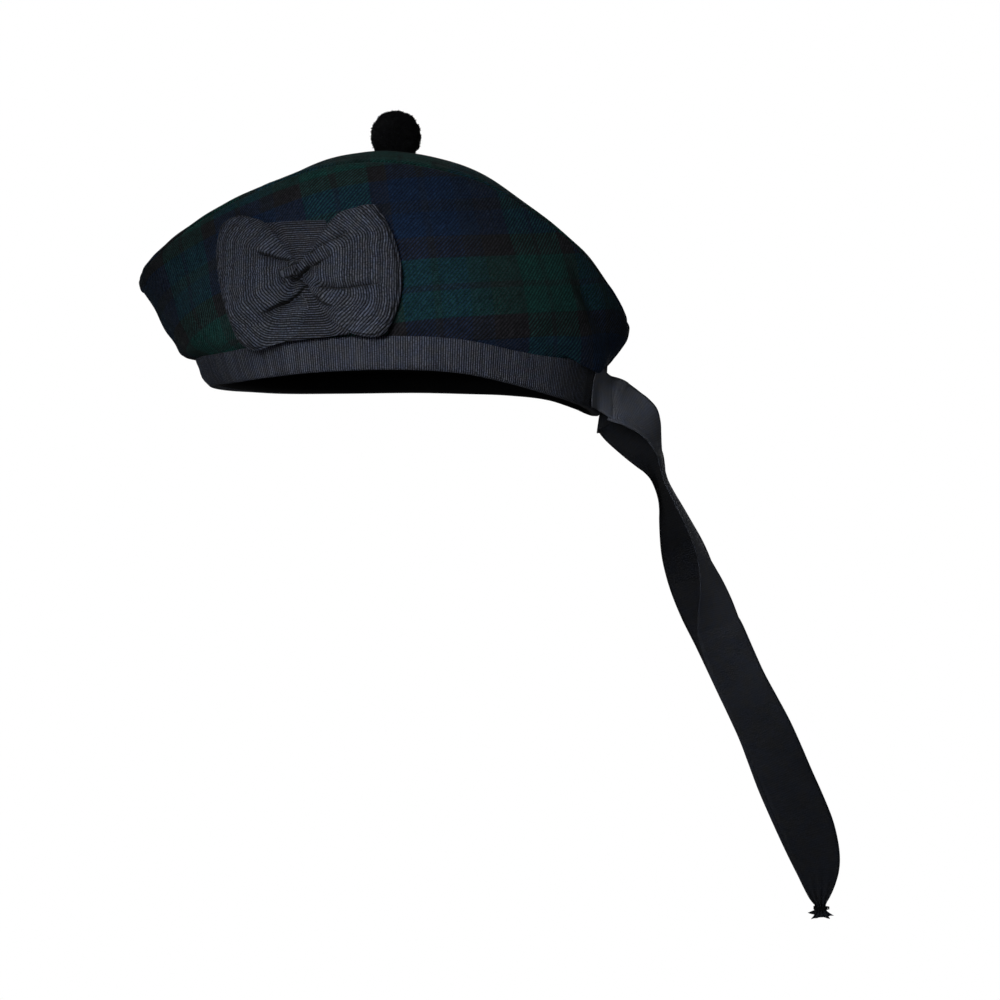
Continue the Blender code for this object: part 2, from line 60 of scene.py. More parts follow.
SIDE_PUFF = 0.009

# Cloth, with a gap where pieces touch
WALL = 0.0016
LINING = 0.001
BINDING = 0.001
RIBBON = 0.001
GAP = 0.0003

# The bound rim
BAND_HEIGHT = 0.0165
BAND_TURN_IN = 0.009
RIBBON_WIDTH = 0.0254
BACK_EASE = 0.001

# The tails
TAIL_REACH = 0.110
TAIL_DROP = 0.2643
TAIL_ROOTS = {-1: (0.031, 0.025), 1: (0.0075, 0.002)}
TAIL_ROOT_SINK = 0.0018
TAIL_ROOT_WIDTH = 0.82
TAIL_THINNESS = 0.24
TAIL_OVERLAP = 0.010
NECK_THICKNESS = 0.0018
TIE_HEIGHT = 0.002
TIE_WIRE = 0.00026

# The rosette
BOW_LENGTH = 0.0875
BOW_RISE_SHARE = 1.042
BOW_THICKNESS = 0.0055
BOW_EDGE = 0.0012
BOW_EASE = 0.0007
KNOT_BACK = -0.0455
KNOT_UP_SHARE = 0.363
STRIP_TOP = (-0.0190, 0.0102)
STRIP_BOTTOM = (-0.0120, 0.0222)
STRIP_HIGH = 0.300
STRIP_LOW = (-0.392, -0.352)

# The tourie. It stands on the wool under a share of its radius, pressed a little into the lowest of it
TOURIE_RADIUS = 0.01275
TOURIE_BACK = -0.0056
TOURIE_SINK = 0.0018
TOURIE_SEAT = 0.6
TOURIE_PRESS = 0.0002
YARN_ENDS = 13000

# Places up the wool, as v: the foot of the sides' swell, where the sides end and the crown starts at the seam
# between them, and where the crown ends at its middle
SWELL_FOOT = 1.14
SIDE_TOP = 2.992
CROWN_EDGE = 3.008
CROWN_END = 4.97

# The visible wool is a little thinner than its wall, and so stays clear of the lining
WOOL_DEPTH = WALL * 0.72

# How bright the floor is to the pieces over it, and to the camera
FLOOR_GLOW = 0.05
FLOOR_WHITE = 0.72

# Weave: one wool thread, and one rib of the ribbons
THREAD = 0.00051
RIB = 0.00112
RIB_RELIEF = 0.00011
BOW_RIB_RELIEF = RIB_RELIEF * 1.4
STEPS_PER_RIB = 4


def table(columns, *rows):
    """Rows with named columns."""
    row_type = namedtuple("Row", columns)
    return tuple(row_type(*row) for row in rows)


# The rim, by share of the way from the front to the back
RIM_ROWS = table(
    "along height sag lean puff",
    (0.00, 0.00, 0.00, 31, 0.70),
    (0.06, 0.01, 0.10, 27, 0.75),
    (0.14, 0.02, 0.06, 21, 0.82),
    (0.30, 0.09, 0.00, 12, 0.95),
    (0.50, 0.14, 0.00, 9, 1.00),
    (0.65, 0.09, 0.04, 9, 1.00),
    (0.77, 0.00, 0.22, 10, 0.85),
    (0.88, -0.22, 0.31, 10, 0.55),
    (0.96, -0.62, 0.14, 9, 0.25),
    (1.00, -0.93, 0.00, 9, 0.12),
)

# The crown seam's height and the crown's, in shares of the crown's height
RIDGE_ROWS = table(
    "along ridge crown",
    (0.00, 0.450, 0.450),
    (0.06, 0.538, 0.561),
    (0.11, 0.614, 0.648),
    (0.21, 0.722, 0.771),
    (0.31, 0.808, 0.852),
    (0.40, 0.858, 0.950),
    (0.50, 0.874, 0.985),
    (0.60, 0.851, 0.960),
    (0.70, 0.799, 0.886),
    (0.79, 0.700, 0.746),
    (0.89, 0.550, 0.577),
    (0.94, 0.431, 0.453),
    (1.00, 0.246, 0.246),
)

# How far a side swells out, by share of the way up it
WALL_ROWS = table(
    "along out",
    (0.00, 0.00),
    (0.05, 0.36),
    (0.12, 0.66),
    (0.22, 0.92),
    (0.36, 1.00),
    (0.62, 0.72),
    (0.86, 0.20),
    (1.00, 0.00),
)

# The bow's reach from the knot by the degrees round it, in shares of its length or of the side's height
BOW_ROWS = table(
    "along reach",
    (-56, 0.330), (-52, 0.416), (-46, 0.491), (-41, 0.541), (-36, 0.561), (-26, 0.556),
    (-7, 0.543), (16, 0.523), (38, 0.527), (44, 0.527), (51, 0.452), (58, 0.375),
    (64, 0.265), (70, 0.140), (90, 0.070), (112, 0.100), (123, 0.200), (128, 0.370),
    (132, 0.425), (137, 0.492), (145, 0.540), (150, 0.545), (165, 0.503), (180, 0.469),
    (196, 0.457), (213, 0.473), (225, 0.499), (233, 0.500), (239, 0.483), (247, 0.425),
    (253, 0.396), (258, 0.374), (264, 0.348), (268, 0.325), (273, 0.262), (280, 0.205),
    (288, 0.165), (298, 0.180), (304, 0.330),
)

# Stations down each tail: shares of its reach, its drop and the ribbon's width, its turn in degrees and how
# much of its width is left
TAIL_COLUMNS = "back down side turn gather"
TAIL_ROWS = {
    -1: table(
        TAIL_COLUMNS,
        (0.027, 0.021, -0.72, 12, 0.90),
        (0.071, 0.030, -0.62, 28, 0.97),
        (0.120, 0.040, -0.52, 38, 1.00),
        (0.182, 0.059, -0.42, 44, 0.98),
        (0.226, 0.092, -0.34, 64, 0.88),
        (0.256, 0.128, -0.30, 78, 0.78),
        (0.285, 0.176, -0.32, 80, 0.76),
        (0.346, 0.226, -0.42, 78, 0.86),
        (0.407, 0.276, -0.45, 76, 0.98),
        (0.448, 0.321, -0.46, 73, 1.00),
        (0.487, 0.373, -0.45, 58, 1.00),
        (0.506, 0.413, -0.41, 42, 1.00),
        (0.520, 0.448, -0.30, 27, 1.00),
        (0.542, 0.476, -0.21, 15, 1.00),
        (0.633, 0.566, -0.08, 4, 1.02),
        (0.750, 0.658, -0.06, 0, 1.03),
        (0.846, 0.751, -0.06, 0, 1.05),
        (0.940, 0.844, -0.06, 0, 1.05),
        (0.981, 0.909, -0.06, 0, 0.93),
        (0.992, 0.948, -0.06, 0, 0.66),
        (0.993, 0.979, -0.05, 0, 0.36),
        (0.997, 0.992, -0.042, 0, 0.20),
        (1.000, 1.003, -0.042, 0, 0.22),
        (1.004, 1.014, -0.06, 0, 0.46),
    ),
    1: table(
        TAIL_COLUMNS,
        (0.044, 0.045, 0.06, 15, 0.96),
        (0.078, 0.076, 0.06, 38, 1.00),
        (0.158, 0.107, 0.05, 40, 1.00),
        (0.216, 0.137, 0.05, 48, 0.94),
        (0.250, 0.169, 0.05, 62, 0.78),
        (0.280, 0.207, 0.06, 64, 0.75),
        (0.312, 0.241, 0.06, 50, 0.90),
        (0.349, 0.288, 0.06, 33, 1.00),
        (0.385, 0.334, 0.06, 15, 1.00),
        (0.423, 0.380, 0.06, 5, 1.00),
        (0.471, 0.427, 0.06, 2, 1.00),
        (0.527, 0.473, 0.06, 0, 1.00),
        (0.632, 0.566, 0.06, 0, 1.00),
        (0.734, 0.658, 0.06, 0, 1.00),
        (0.820, 0.751, 0.06, 0, 1.02),
        (0.918, 0.844, 0.06, 0, 1.02),
        (0.973, 0.909, 0.06, 0, 0.88),
        (0.985, 0.948, 0.06, 0, 0.64),
        (0.991, 0.979, 0.05, 0, 0.36),
        (0.997, 0.992, 0.042, 0, 0.20),
        (1.000, 1.003, 0.042, 0, 0.22),
        (0.994, 1.014, 0.06, 0, 0.46),
    ),
}
NECK_ROW = -3

# Painted light and shade along each tail, by share of its length, from -1, lighter, to 1, darker: the near tail
# is painted lighter where it faces up, the far one darker where the near one shades it, and both darker lower
# down
TAIL_LIGHT_AND_SHADE = {
    -1: table(
        "along tone",
        (0.0, -0.82), (0.14, -0.76), (0.20, -0.10), (0.27, -0.40),
        (0.44, -0.30), (0.54, 0.10), (0.70, 0.36), (1.0, 0.38),
    ),
    1: table(
        "along tone",
        (0.0, 0.66), (0.30, 0.74), (0.44, 0.70), (0.53, 0.40), (0.60, 0.22), (1.0, 0.38),
    ),
}

# How the tartan lies on the left side, by the distance back from the side's middle: its rise over the level,
# and how far it is pulled back where the rosette is sewn on
GRAIN_ROWS = table(
    "along rise pull",
    (-0.150, -0.0480, -0.0084),
    (-0.110, -0.0330, -0.0084),
    (-0.090, -0.0254, -0.0075),
    (-0.055, -0.0132, -0.0004),
    (-0.030, -0.0060, 0.0000),
    (0.010, 0.0000, 0.0000),
    (0.050, 0.0035, 0.0000),
    (0.090, 0.0075, 0.0000),
    (0.130, 0.0120, 0.0000),
)

# Near the crown seam the cloth curves away, and its level stripes crowd together above this height
CROWDING_START = 0.0975
CROWDING = 0.35

RIDGE_START = -HEAD_LENGTH / 2 - RIDGE_FRONT
RIDGE_LENGTH = HEAD_LENGTH + RIDGE_FRONT + RIDGE_BACK
RIDGE_MIDDLE = RIDGE_START + RIDGE_LENGTH / 2
UP = np.array((0, 0, 1.0))

# One repeat of the tartan's stripes, from the middle of a green block to the middle of the next
WARP_STRIPES = table(
    "threads color",
    (3, "deep_green"),
    (28, "green"),
    (19, "black"),
    (30, "blue"),
    (6, "dark_blue"),
    (29, "blue"),
    (19, "dark_blue"),
    (34, "black"),
    (28, "green"),
    (2, "deep_green"),
)
WEFT_STRIPES = table(
    "threads color",
    (3, "deep_green"),
    (26, "green"),
    (23, "black"),
    (27, "blue"),
    (12, "dark_blue"),
    (27, "blue"),
    (23, "black"),
    (26, "green"),
    (3, "deep_green"),
)
WOOL_COLORS = {
    "black": (0.0132, 0.0130, 0.0160),
    "green": (0.0072, 0.0385, 0.0350),
    "deep_green": (0.0105, 0.0235, 0.0235),
    "blue": (0.0062, 0.0160, 0.0425),
    "dark_blue": (0.0090, 0.0145, 0.0275),
}

# A soft dent or swell in the wool of a side: its place, its half lengths, its tilt in degrees and its depth
DENT_COLUMNS = "back up long wide tilt depth"
LEFT_DENTS = table(
    DENT_COLUMNS,
    (0.0905, 0.040, 0.015, 0.0034, -64, 0.0024),
    (0.072, 0.020, 0.012, 0.0035, 58, 0.0007),
    (0.091, 0.014, 0.011, 0.0030, 20, 0.0008),
    (-0.088, 0.025, 0.018, 0.0060, 75, 0.0007),
    (0.040, 0.024, 0.026, 0.0050, 12, 0.0005),
    (0.020, 0.073, 0.040, 0.0070, -6, 0.0006),
    (-0.100, 0.052, 0.020, 0.0070, 40, 0.0007),
)
RIGHT_DENTS = table(
    DENT_COLUMNS,
    (0.080, 0.024, 0.014, 0.0035, 40, 0.0013),
    (0.052, 0.040, 0.034, 0.0060, 20, 0.0008),
    (-0.020, 0.032, 0.040, 0.0070, 8, 0.0007),
    (-0.082, 0.040, 0.024, 0.0060, 65, 0.0010),
    (-0.050, 0.078, 0.030, 0.0070, 24, 0.0007),
)


def smooth_curve(keys, values, places):
    """A smooth curve through values at keys, read at places."""
    keys = np.array(keys, float)
    values = np.array(values, float)
    slopes = np.empty(len(keys))
    slopes[1:-1] = (values[2:] - values[:-2]) / (keys[2:] - keys[:-2])
    slopes[0] = (values[1] - values[0]) / (keys[1] - keys[0])
    slopes[-1] = (values[-1] - values[-2]) / (keys[-1] - keys[-2])
    places = np.clip(places, keys[0], keys[-1])
    i = np.clip(np.searchsorted(keys, places) - 1, 0, len(keys) - 2)
    span = keys[i + 1] - keys[i]
    t = (places - keys[i]) / span
    from_start = (1 + 2 * t) * (1 - t) ** 2 * values[i] + t * (1 - t) ** 2 * span * slopes[i]
    from_end = t * t * (3 - 2 * t) * values[i + 1] + t * t * (t - 1) * span * slopes[i + 1]
    return from_start + from_end


def read_column(rows, column, places):
    """A smooth curve through one column of a table, by its column along."""
    return smooth_curve([row.along for row in rows], [getattr(row, column) for row in rows], places)


def point_of(x, y, z):
    return np.stack(np.broadcast_arrays(x, y, z), axis=-1).astype(float)


def unit(vectors):
    return vectors / np.maximum(np.linalg.norm(vectors, axis=-1, keepdims=True), 1e-12)


def dot(a, b):
    return np.sum(a * b, axis=-1)


def smooth_step(low, high, value):
    t = np.clip((value - low) / (high - low), 0, 1)
    return t * t * (3 - 2 * t)


def circle(count):
    """Angles spread round a circle."""
    return 2 * math.pi * np.arange(count) / count


def path_lengths(points):
    """How far along a path each of its points is."""
    return np.concatenate(([0], np.cumsum(np.linalg.norm(np.diff(points, axis=0), axis=-1))))


def bell(value, width=1.0):
    """1 at 0, falling off smoothly on both sides."""
    return np.exp(-((value / width) ** 2))


def signed_power(value, power):
    return np.sign(value) * np.abs(value) ** power


def rim_share(phi):
    return (1 - signed_power(np.cos(phi), HEAD_SQUARENESS)) / 2


def rim_point(phi):
    share = rim_share(phi)
    x = HEAD_LENGTH * (share - 0.5)
    y = -HEAD_WIDTH / 2 * signed_power(np.sin(phi), HEAD_SQUARENESS)
    sag = np.where(y < 0, read_column(RIM_ROWS, "sag", share), 0)
    return point_of(x, y, NAPE_DROP * (read_column(RIM_ROWS, "height", share) - sag))


def rim_outward(phi):
    point = rim_point(phi)
    return unit(point_of(point[..., 0] / HEAD_LENGTH**2, point[..., 1] / HEAD_WIDTH**2, 0))


def hem_height(phi):
    unfolded = np.maximum(0, (rim_share(phi) - 0.75) / 0.25) ** 2
    return BAND_HEIGHT + (RIBBON_WIDTH + BACK_EASE - BAND_HEIGHT) * unfolded - GAP - BINDING


def hem_point(phi, share):
    lean = np.radians(read_column(RIM_ROWS, "lean", rim_share(phi)))[..., None]
    up = rim_outward(phi) * np.sin(lean) + UP * np.cos(lean)
    return rim_point(phi) + up * (hem_height(phi) * share)[..., None]


def crown_height(x, y):
    """The domed crown's height over a place in the plan."""
    share = np.clip((x - RIDGE_START) / RIDGE_LENGTH, 0, 1)
    half = CROWN_WIDTH / 2 * (2 * np.sqrt(np.maximum(share * (1 - share), 0))) ** CROWN_POINTEDNESS
    across = np.minimum(np.abs(y) / np.maximum(half, 1e-7), 1)
    ridge = read_column(RIDGE_ROWS, "ridge", share)
    dome = read_column(RIDGE_ROWS, "crown", share) - ridge
    return CROWN_HEIGHT * (ridge + dome * (1 - across**2))


def ridge_corner(phi):
    share = (1 - np.cos(phi)) / 2
    x = RIDGE_START + RIDGE_LENGTH * share
    y = -CROWN_WIDTH / 2 * signed_power(np.sin(phi), CROWN_POINTEDNESS)
    return point_of(x, y, CROWN_HEIGHT * read_column(RIDGE_ROWS, "ridge", share))


def wall_point(phi, share):
    puff = SIDE_PUFF * read_column(RIM_ROWS, "puff", rim_share(phi))
    swell = rim_outward(phi) * (puff * read_column(WALL_ROWS, "out", share))[..., None]
    foot = hem_point(phi, 1.0)
    return foot + (ridge_corner(phi) - foot) * np.asarray(share)[..., None] + swell


def crown_meridian(phi, share):
    corner = ridge_corner(phi)
    x = corner[..., 0] + (RIDGE_MIDDLE - corner[..., 0]) * share
    y = corner[..., 1] * (1 - share)
    return point_of(x, y, crown_height(x, y))


def wall_round_share(phi):
    return RIDGE_ROUND / np.linalg.norm(ridge_corner(phi) - hem_point(phi, 1.0), axis=-1)


def crown_round_share(phi):
    corner = ridge_corner(phi)
    return RIDGE_ROUND / np.hypot(corner[..., 0] - RIDGE_MIDDLE, corner[..., 1])


def skin(phi, v):
    """The outside of the wool, at arrays of places."""
    phi, v = np.broadcast_arrays(np.asarray(phi, float), np.asarray(v, float))
    wall_end = 1 - wall_round_share(phi)
    crown_start = crown_round_share(phi)
    hem = hem_point(phi, np.clip(v, 0, 1))
    wall = wall_point(phi, np.clip(v - 1, 0, 1) * wall_end)
    t = np.clip((v - 2) / 2, 0, 1)[..., None]
    below = wall_point(phi, wall_end)
    above = crown_meridian(phi, crown_start)
    ridge = below * (1 - t) ** 2 + ridge_corner(phi) * 2 * t * (1 - t) + above * t**2
    crown = crown_meridian(phi, crown_start + np.clip(v - 4, 0, 1) * (1 - crown_start))
    zone = v[..., None]
    return np.where(zone <= 1, hem, np.where(zone <= 2, wall, np.where(zone < 4, ridge, crown)))


def skin_up(phi, v):
    step = 1e-3
    v = np.asarray(v, float)
    return skin(phi, np.minimum(v + step, 5)) - skin(phi, np.maximum(v - step, 0))


def skin_normal(phi, v):
    step = 1e-3
    phi = np.asarray(phi, float)
    around = skin(phi + step, v) - skin(phi - step, v)
    normal = unit(np.cross(around, skin_up(phi, v)))
    top = np.broadcast_to(np.asarray(v) >= 5, normal.shape[:-1])[..., None]
    return np.where(top, UP, normal)


def hem_layer(phi, share, out, below=0.0):
    """A place by the hem: up it by a share, outside it by out and beneath the rim by below."""
    up = unit(skin_up(phi, 0.5))
    normal = skin_normal(phi, 0.5)
    out = np.asarray(out, float)[..., None]
    below = np.asarray(below, float)[..., None]
    return hem_point(phi, share) + normal * out - up * below


def undulation(points, size, seed, waves=7):
    """A soft unevenness from -1 to 1 or so, whose waves are about size long."""
    chance = np.random.default_rng(seed)
    total = np.zeros(points.shape[:-1])
    for _ in range(waves):
        direction = unit(chance.normal(size=3))
        phase = chance.uniform(0, 2 * math.pi)
        length = size * chance.uniform(0.7, 1.5)
        total += np.sin(2 * math.pi * points @ direction / length + phase)
    return total / math.sqrt(waves)


def dent_depth(points, dents):
    total = np.zeros(points.shape[:-1])
    for dent in dents:
        tilt = math.radians(dent.tilt)
        back = points[..., 0] - dent.back
        up = points[..., 2] - dent.up
        along = (back * math.cos(tilt) + up * math.sin(tilt)) / dent.long
        across = (-back * math.sin(tilt) + up * math.cos(tilt)) / dent.wide
        valley = bell(along) * bell(across)
        shoulder = bell(along) * bell(np.abs(across) - 2.0)
        total += dent.depth * (valley - 0.35 * shoulder)
    return total


def distance_to_ends(phi):
    """How far along the cloth a place is from the seam at the front or at the back, roughly."""
    return np.abs(np.sin(phi)) * 0.075


def wool_relief(phi, v, points):
    """How far the real wool lies outside the smooth skin: seams, puckers and soft unevenness."""
    phi, v = np.broadcast_arrays(phi, v)
    low = undulation(points, 0.055, 3) * 0.00055 + undulation(points, 0.021, 4) * 0.00022
    rise = 0.55 * low * smooth_step(1.0, 1.5, v)

    # The crown seam: a narrow valley between two soft rolls of turned-in cloth
    seam = (v - 3) * 0.0072
    rise -= 0.00016 * bell(seam, 0.00030)
    rolls = bell(np.abs(seam) - 0.0018, 0.0014)
    rise += 0.00034 * rolls * (1 + 0.35 * undulation(points, 0.012, 5))

    # The seams at the front and the back
    edge = distance_to_ends(phi)
    on_side = 1 - smooth_step(2.8, 3.0, v)
    rise -= 0.0009 * bell(edge, 0.0009) * on_side
    rise += 0.0004 * bell(edge - 0.003, 0.002) * on_side

    # Cloth gathered into the band
    foot = bell(np.maximum(v - 1, 0), 0.10)
    rise += foot * 0.00035 * undulation(points, 0.013, 6)
    left = points[..., 1] < 0
    dents = np.where(left, dent_depth(points, LEFT_DENTS), dent_depth(points, RIGHT_DENTS))
    rise -= dents * (1 - smooth_step(2.6, 3.0, v)) * smooth_step(1.0, 1.2, v)

    # The side swells a little over the band's edge at the front
    front = bell(np.sin(phi / 2), 0.35) + 0 * phi
    rise += 0.0029 * front * bell(v - 1.12, 0.09)
    rise -= 0.0024 * front * bell(v - 1.74, 0.27)
    rise -= 0.0006 * smooth_step(3.1, 3.8, v)
    return rise * smooth_step(0.9, 1.04, v)


def overhang(phi, v):
    """How the wool at the back bags out and down over the band's top edge."""
    phi, v = np.broadcast_arrays(phi, v)
    share = rim_share(phi)
    amount = smooth_step(0.86, 0.97, share) * (1 - 0.88 * smooth_step(0.955, 1.0, share))
    amount = amount * (0.75 + 0.25 * np.clip(np.sin(phi) / 0.2, -1, 1))
    out = 0.0036 * amount * smooth_step(1.0, 1.02, v) * (1 - smooth_step(1.10, 1.5, v))
    down = 0.0088 * amount * smooth_step(1.012, 1.045, v) * (1 - smooth_step(1.05, 1.38, v))
    return rim_outward(phi) * out[..., None] - UP * down[..., None]


def wool_layer(phi, v, out):
    """The worked wool, or a layer that follows it at a distance."""
    points = skin(phi, v)
    return points + skin_normal(phi, v) * (wool_relief(phi, v, points) + out)[..., None]


def signed_volume(points, quads):
    a, b, c, d = (points[quads[:, k]] for k in range(4))
    return np.sum(dot(a, np.cross(b, c)) + dot(a, np.cross(c, d)))


def make_object(name, points, faces, uv=None):
    """A smooth mesh from an array and a list. uv has one pair for each corner of each face."""
    mesh = bpy.data.meshes.new(name)
    mesh.from_pydata(points.tolist(), [], faces)
    if uv is not None:
        layer = mesh.uv_layers.new(name="weave")
        layer.data.foreach_set("uv", np.ascontiguousarray(uv, dtype=np.float32).ravel())
    mesh.shade_smooth()
    obj = bpy.data.objects.new(name, mesh)
    bpy.context.collection.objects.link(obj)
    return obj


def paint_light_and_shade(obj, darkness):
    """How much each point is darkened or lightened, for the material, as painted shade and painted light: from
    -1, lighter, to 1, darker.
    """
    layer = obj.data.attributes.new("painted_light_and_shade", "FLOAT", "POINT")
    layer.data.foreach_set("value", np.ascontiguousarray(darkness, dtype=np.float32).ravel())


def make_loft(name, loops, ring, uv=None):
    """A closed solid through loops of points, as a ring or with a cap at each end.

    loops is columns by points by 3. uv has one more column on a ring, and one more point, so that a map can
    run on where the loft closes.
    """
    columns, size = loops.shape[:2]
    index = np.arange(columns * size).reshape(columns, size)
    far = np.roll(index, -1, axis=0) if ring else index[1:]
    last = len(far)
    near = index[:last]
    quads = np.stack((near, np.roll(near, -1, 1), np.roll(far, -1, 1), far), axis=-1).reshape(-1, 4)
    points = loops.reshape(-1, 3)
    if uv is None:
        uv = np.zeros((columns + 1, size + 1, 2))
    corners = (uv[:last, :size], uv[:last, 1:], uv[1 : last + 1, 1:], uv[1 : last + 1, :size])
    corner_uv = np.stack(corners, axis=2).reshape(-1, 4, 2)
    if signed_volume(points, quads) < 0:
        quads = quads[:, ::-1]
        corner_uv = corner_uv[:, ::-1]
    if not ring:
        k = np.arange(size // 2 - 1)
        start = np.stack((k, k + 1, size - 2 - k, size - 1 - k), axis=-1)
        end = start[:, ::-1]
        caps = np.concatenate((index[0][start], index[-1][end]))
        cap_uv = np.concatenate((uv[0][start], uv[last][end]))
        if not caps_match(quads, caps):
            caps = caps[:, ::-1]
            cap_uv = cap_uv[:, ::-1]
        quads = np.concatenate((quads, caps))
        corner_uv = np.concatenate((corner_uv, cap_uv))
    return make_object(name, points, quads.tolist(), corner_uv)


def caps_match(quads, caps):
    """Whether the caps turn the same way as the walls: a shared edge must run both ways."""
    edges = set()
    for k in range(4):
        edges.update(zip(quads[:, k].tolist(), quads[:, (k + 1) % 4].tolist()))
    a, b, c, d = caps[0].tolist()
    return (a, b) not in edges and (c, d) not in edges


def shell(outside, inside):
    """Loops of a shell from its two faces, each columns by rows by 3."""
    return np.concatenate((outside, inside[:, ::-1]), axis=1)


def shell_uv(outside, inside):
    """The same for maps, with the first row once more at the end to close them."""
    return np.concatenate((outside, inside[:, ::-1], outside[:, :1]), axis=1)


def finish_piece(obj, material, slot, *nodes):
    obj.data.materials.append(material)
    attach(obj, "root")
    if nodes:
        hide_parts(*nodes)


class Graph:
    """A material's nodes, wired in short calls. An input is a socket or a number."""

    def __init__(self, name):
        self.material = bpy.data.materials.new(name)
        self.material.use_nodes = True
        self.nodes = self.material.node_tree.nodes
        self.links = self.material.node_tree.links

    def feed(self, node, inputs):
        for key, value in dict(inputs).items():
            if isinstance(value, bpy.types.NodeSocket):
                self.links.new(value, node.inputs[key])
            else:
                node.inputs[key].default_value = value

    def shade(self, inputs):
        """Feeds the shader, and gives the material."""
        self.feed(self.nodes["Principled BSDF"], inputs)
        return self.material

    def add(self, kind, inputs=(), **settings):
        node = self.nodes.new(kind)
        for name, value in settings.items():
            setattr(node, name, value)
        self.feed(node, inputs)
        return node

    def math(self, operation, *values):
        return self.add("ShaderNodeMath", enumerate(values), operation=operation).outputs[0]

    def plus(self, *values):
        return reduce(lambda a, b: self.math("ADD", a, b), values)

    def minus(self, a, b):
        return self.math("SUBTRACT", a, b)

    def times(self, *values):
        return reduce(lambda a, b: self.math("MULTIPLY", a, b), values)

    def wrap(self, value, span):
        return self.math("FLOORED_MODULO", value, span)

    def sine(self, value, factor):
        return self.math("SINE", self.times(value, factor))

    def mix(self, factor, a, b):
        inputs = {"Factor": factor, "A": a, "B": b}
        return self.add("ShaderNodeMix", inputs, data_type="RGBA").outputs["Result"]

    def scale_color(self, color, factor):
        return self.add("ShaderNodeVectorMath", {0: color, "Scale": factor}, operation="SCALE").outputs[0]

    def uv(self):
        place = self.add("ShaderNodeUVMap", uv_map="weave").outputs[0]
        return self.add("ShaderNodeSeparateXYZ", {"Vector": place}).outputs[:2]

    def vector(self, x, y):
        return self.add("ShaderNodeCombineXYZ", {"X": x, "Y": y}).outputs[0]

    def noise(self, vector, scale, detail=2.0, roughness=0.5):
        inputs = {"Vector": vector, "Scale": scale, "Detail": detail, "Roughness": roughness}
        return self.add("ShaderNodeTexNoise", inputs).outputs["Fac"]

    def white(self, x, y):
        inputs = {"Vector": self.vector(x, y)}
        return self.add("ShaderNodeTexWhiteNoise", inputs, noise_dimensions="2D").outputs["Value"]

    def object_place(self):
        return self.add("ShaderNodeTexCoord").outputs["Object"]

    def ramp(self, factor, stops):
        node = self.add("ShaderNodeValToRGB", {"Fac": factor})
        node.color_ramp.interpolation = "CONSTANT"
        elements = node.color_ramp.elements
        while len(elements) < len(stops):
            elements.new(0.5)
        for element, (place, color) in zip(elements, stops):
            element.position = place
            element.color = (*color, 1)
        return node.outputs["Color"]

    def remap(self, value, low, high, new_low, new_high):
        inputs = {"Value": value, "From Min": low, "From Max": high, "To Min": new_low, "To Max": new_high}
        return self.add("ShaderNodeMapRange", inputs).outputs["Result"]

    def uneven(self, noise, share):
        """A level round 1 from a noise."""
        return self.remap(noise, 0.3, 0.7, 1 - share, 1 + share)

    def bump(self, height, distance, strength):
        inputs = {"Height": height, "Distance": distance, "Strength": strength}
        return self.add("ShaderNodeBump", inputs).outputs["Normal"]


def stripe_stops(stripes):
    """Ramp stops for one repeat, and how many threads it has."""
    repeat = sum(stripe.threads for stripe in stripes)
    stops = []
    start = 0
    for stripe in stripes:
        stops.append((start / repeat, WOOL_COLORS[stripe.color]))
        start += stripe.threads
    return stops, repeat


def make_wool(name, warp_shift, weft_shift):
    """Woven tartan in 2/2 twill. The map counts threads; the shifts say where the stripes lie on it."""
    g = Graph(name)
    u, w = g.uv()
    warp_thread = g.math("FLOOR", u)
    weft_thread = g.math("FLOOR", w)
    diagonal = g.wrap(g.minus(warp_thread, weft_thread), 4.0)
    warp_on_top = g.math("LESS_THAN", diagonal, 1.5)

    def stripe_color(stripes, thread, shift):
        stops, repeat = stripe_stops(stripes)
        place = g.wrap(g.plus(thread, shift + 0.5), float(repeat))
        return g.ramp(g.math("DIVIDE", place, float(repeat)), stops)

    warp_color = stripe_color(WARP_STRIPES, warp_thread, warp_shift)
    weft_color = stripe_color(WEFT_STRIPES, weft_thread, weft_shift)
    color = g.mix(g.times(warp_on_top, 0.72), weft_color, warp_color)

    # Each thread, and each place where it comes up, takes the dye a little differently
    own = g.mix(warp_on_top, g.white(weft_thread, 7.0), g.white(warp_thread, 3.0))
    place = g.object_place()

    # The raised diagonals of the twill, with shade between them
    wave = g.sine(g.plus(g.wrap(g.minus(u, w), 4.0), 0.5), math.pi / 2)
    level = g.times(
        g.remap(own, 0.0, 1.0, 0.86, 1.14),
        g.remap(g.white(warp_thread, weft_thread), 0.0, 1.0, 0.62, 1.38),
        g.uneven(g.noise(place, 700.0), 0.30),
        g.uneven(g.noise(place, 26.0, 3.0), 0.08),
        g.remap(wave, -1.0, 1.0, 0.48, 1.42),
    )

    def thread_height(across, along):
        """A thread's height: round across it, and arched where it runs over two others."""
        round_part = g.times(g.sine(g.math("FRACT", across), math.pi), 0.6)
        return g.vector(g.plus(round_part, g.times(g.sine(along, math.pi / 2), 0.4)), 0)

    warp_height = thread_height(u, g.wrap(g.plus(g.minus(warp_thread, w), 1.0), 4.0))
    weft_height = thread_height(w, g.minus(g.wrap(g.minus(u, weft_thread), 4.0), 2.0))
    height = g.mix(warp_on_top, weft_height, warp_height)
    height = g.add("ShaderNodeSeparateXYZ", {"Vector": height}).outputs[0]
    fuzz = g.noise(place, 2600.0, 3.0, 0.65)
    relief = g.plus(height, g.times(fuzz, 0.5), g.times(wave, 0.35))
    return g.shade(
        {
            "Base Color": g.scale_color(color, level),
            "Normal": g.bump(relief, 0.00022, 0.9),
            "Roughness": g.remap(fuzz, 0.3, 0.7, 0.84, 1.0),
            "Specular IOR Level": 0.08,
            "Sheen Weight": 0.05,
            "Sheen Roughness": 0.4,
            "Sheen Tint": (0.62, 0.86, 0.84, 1),
        }
    )


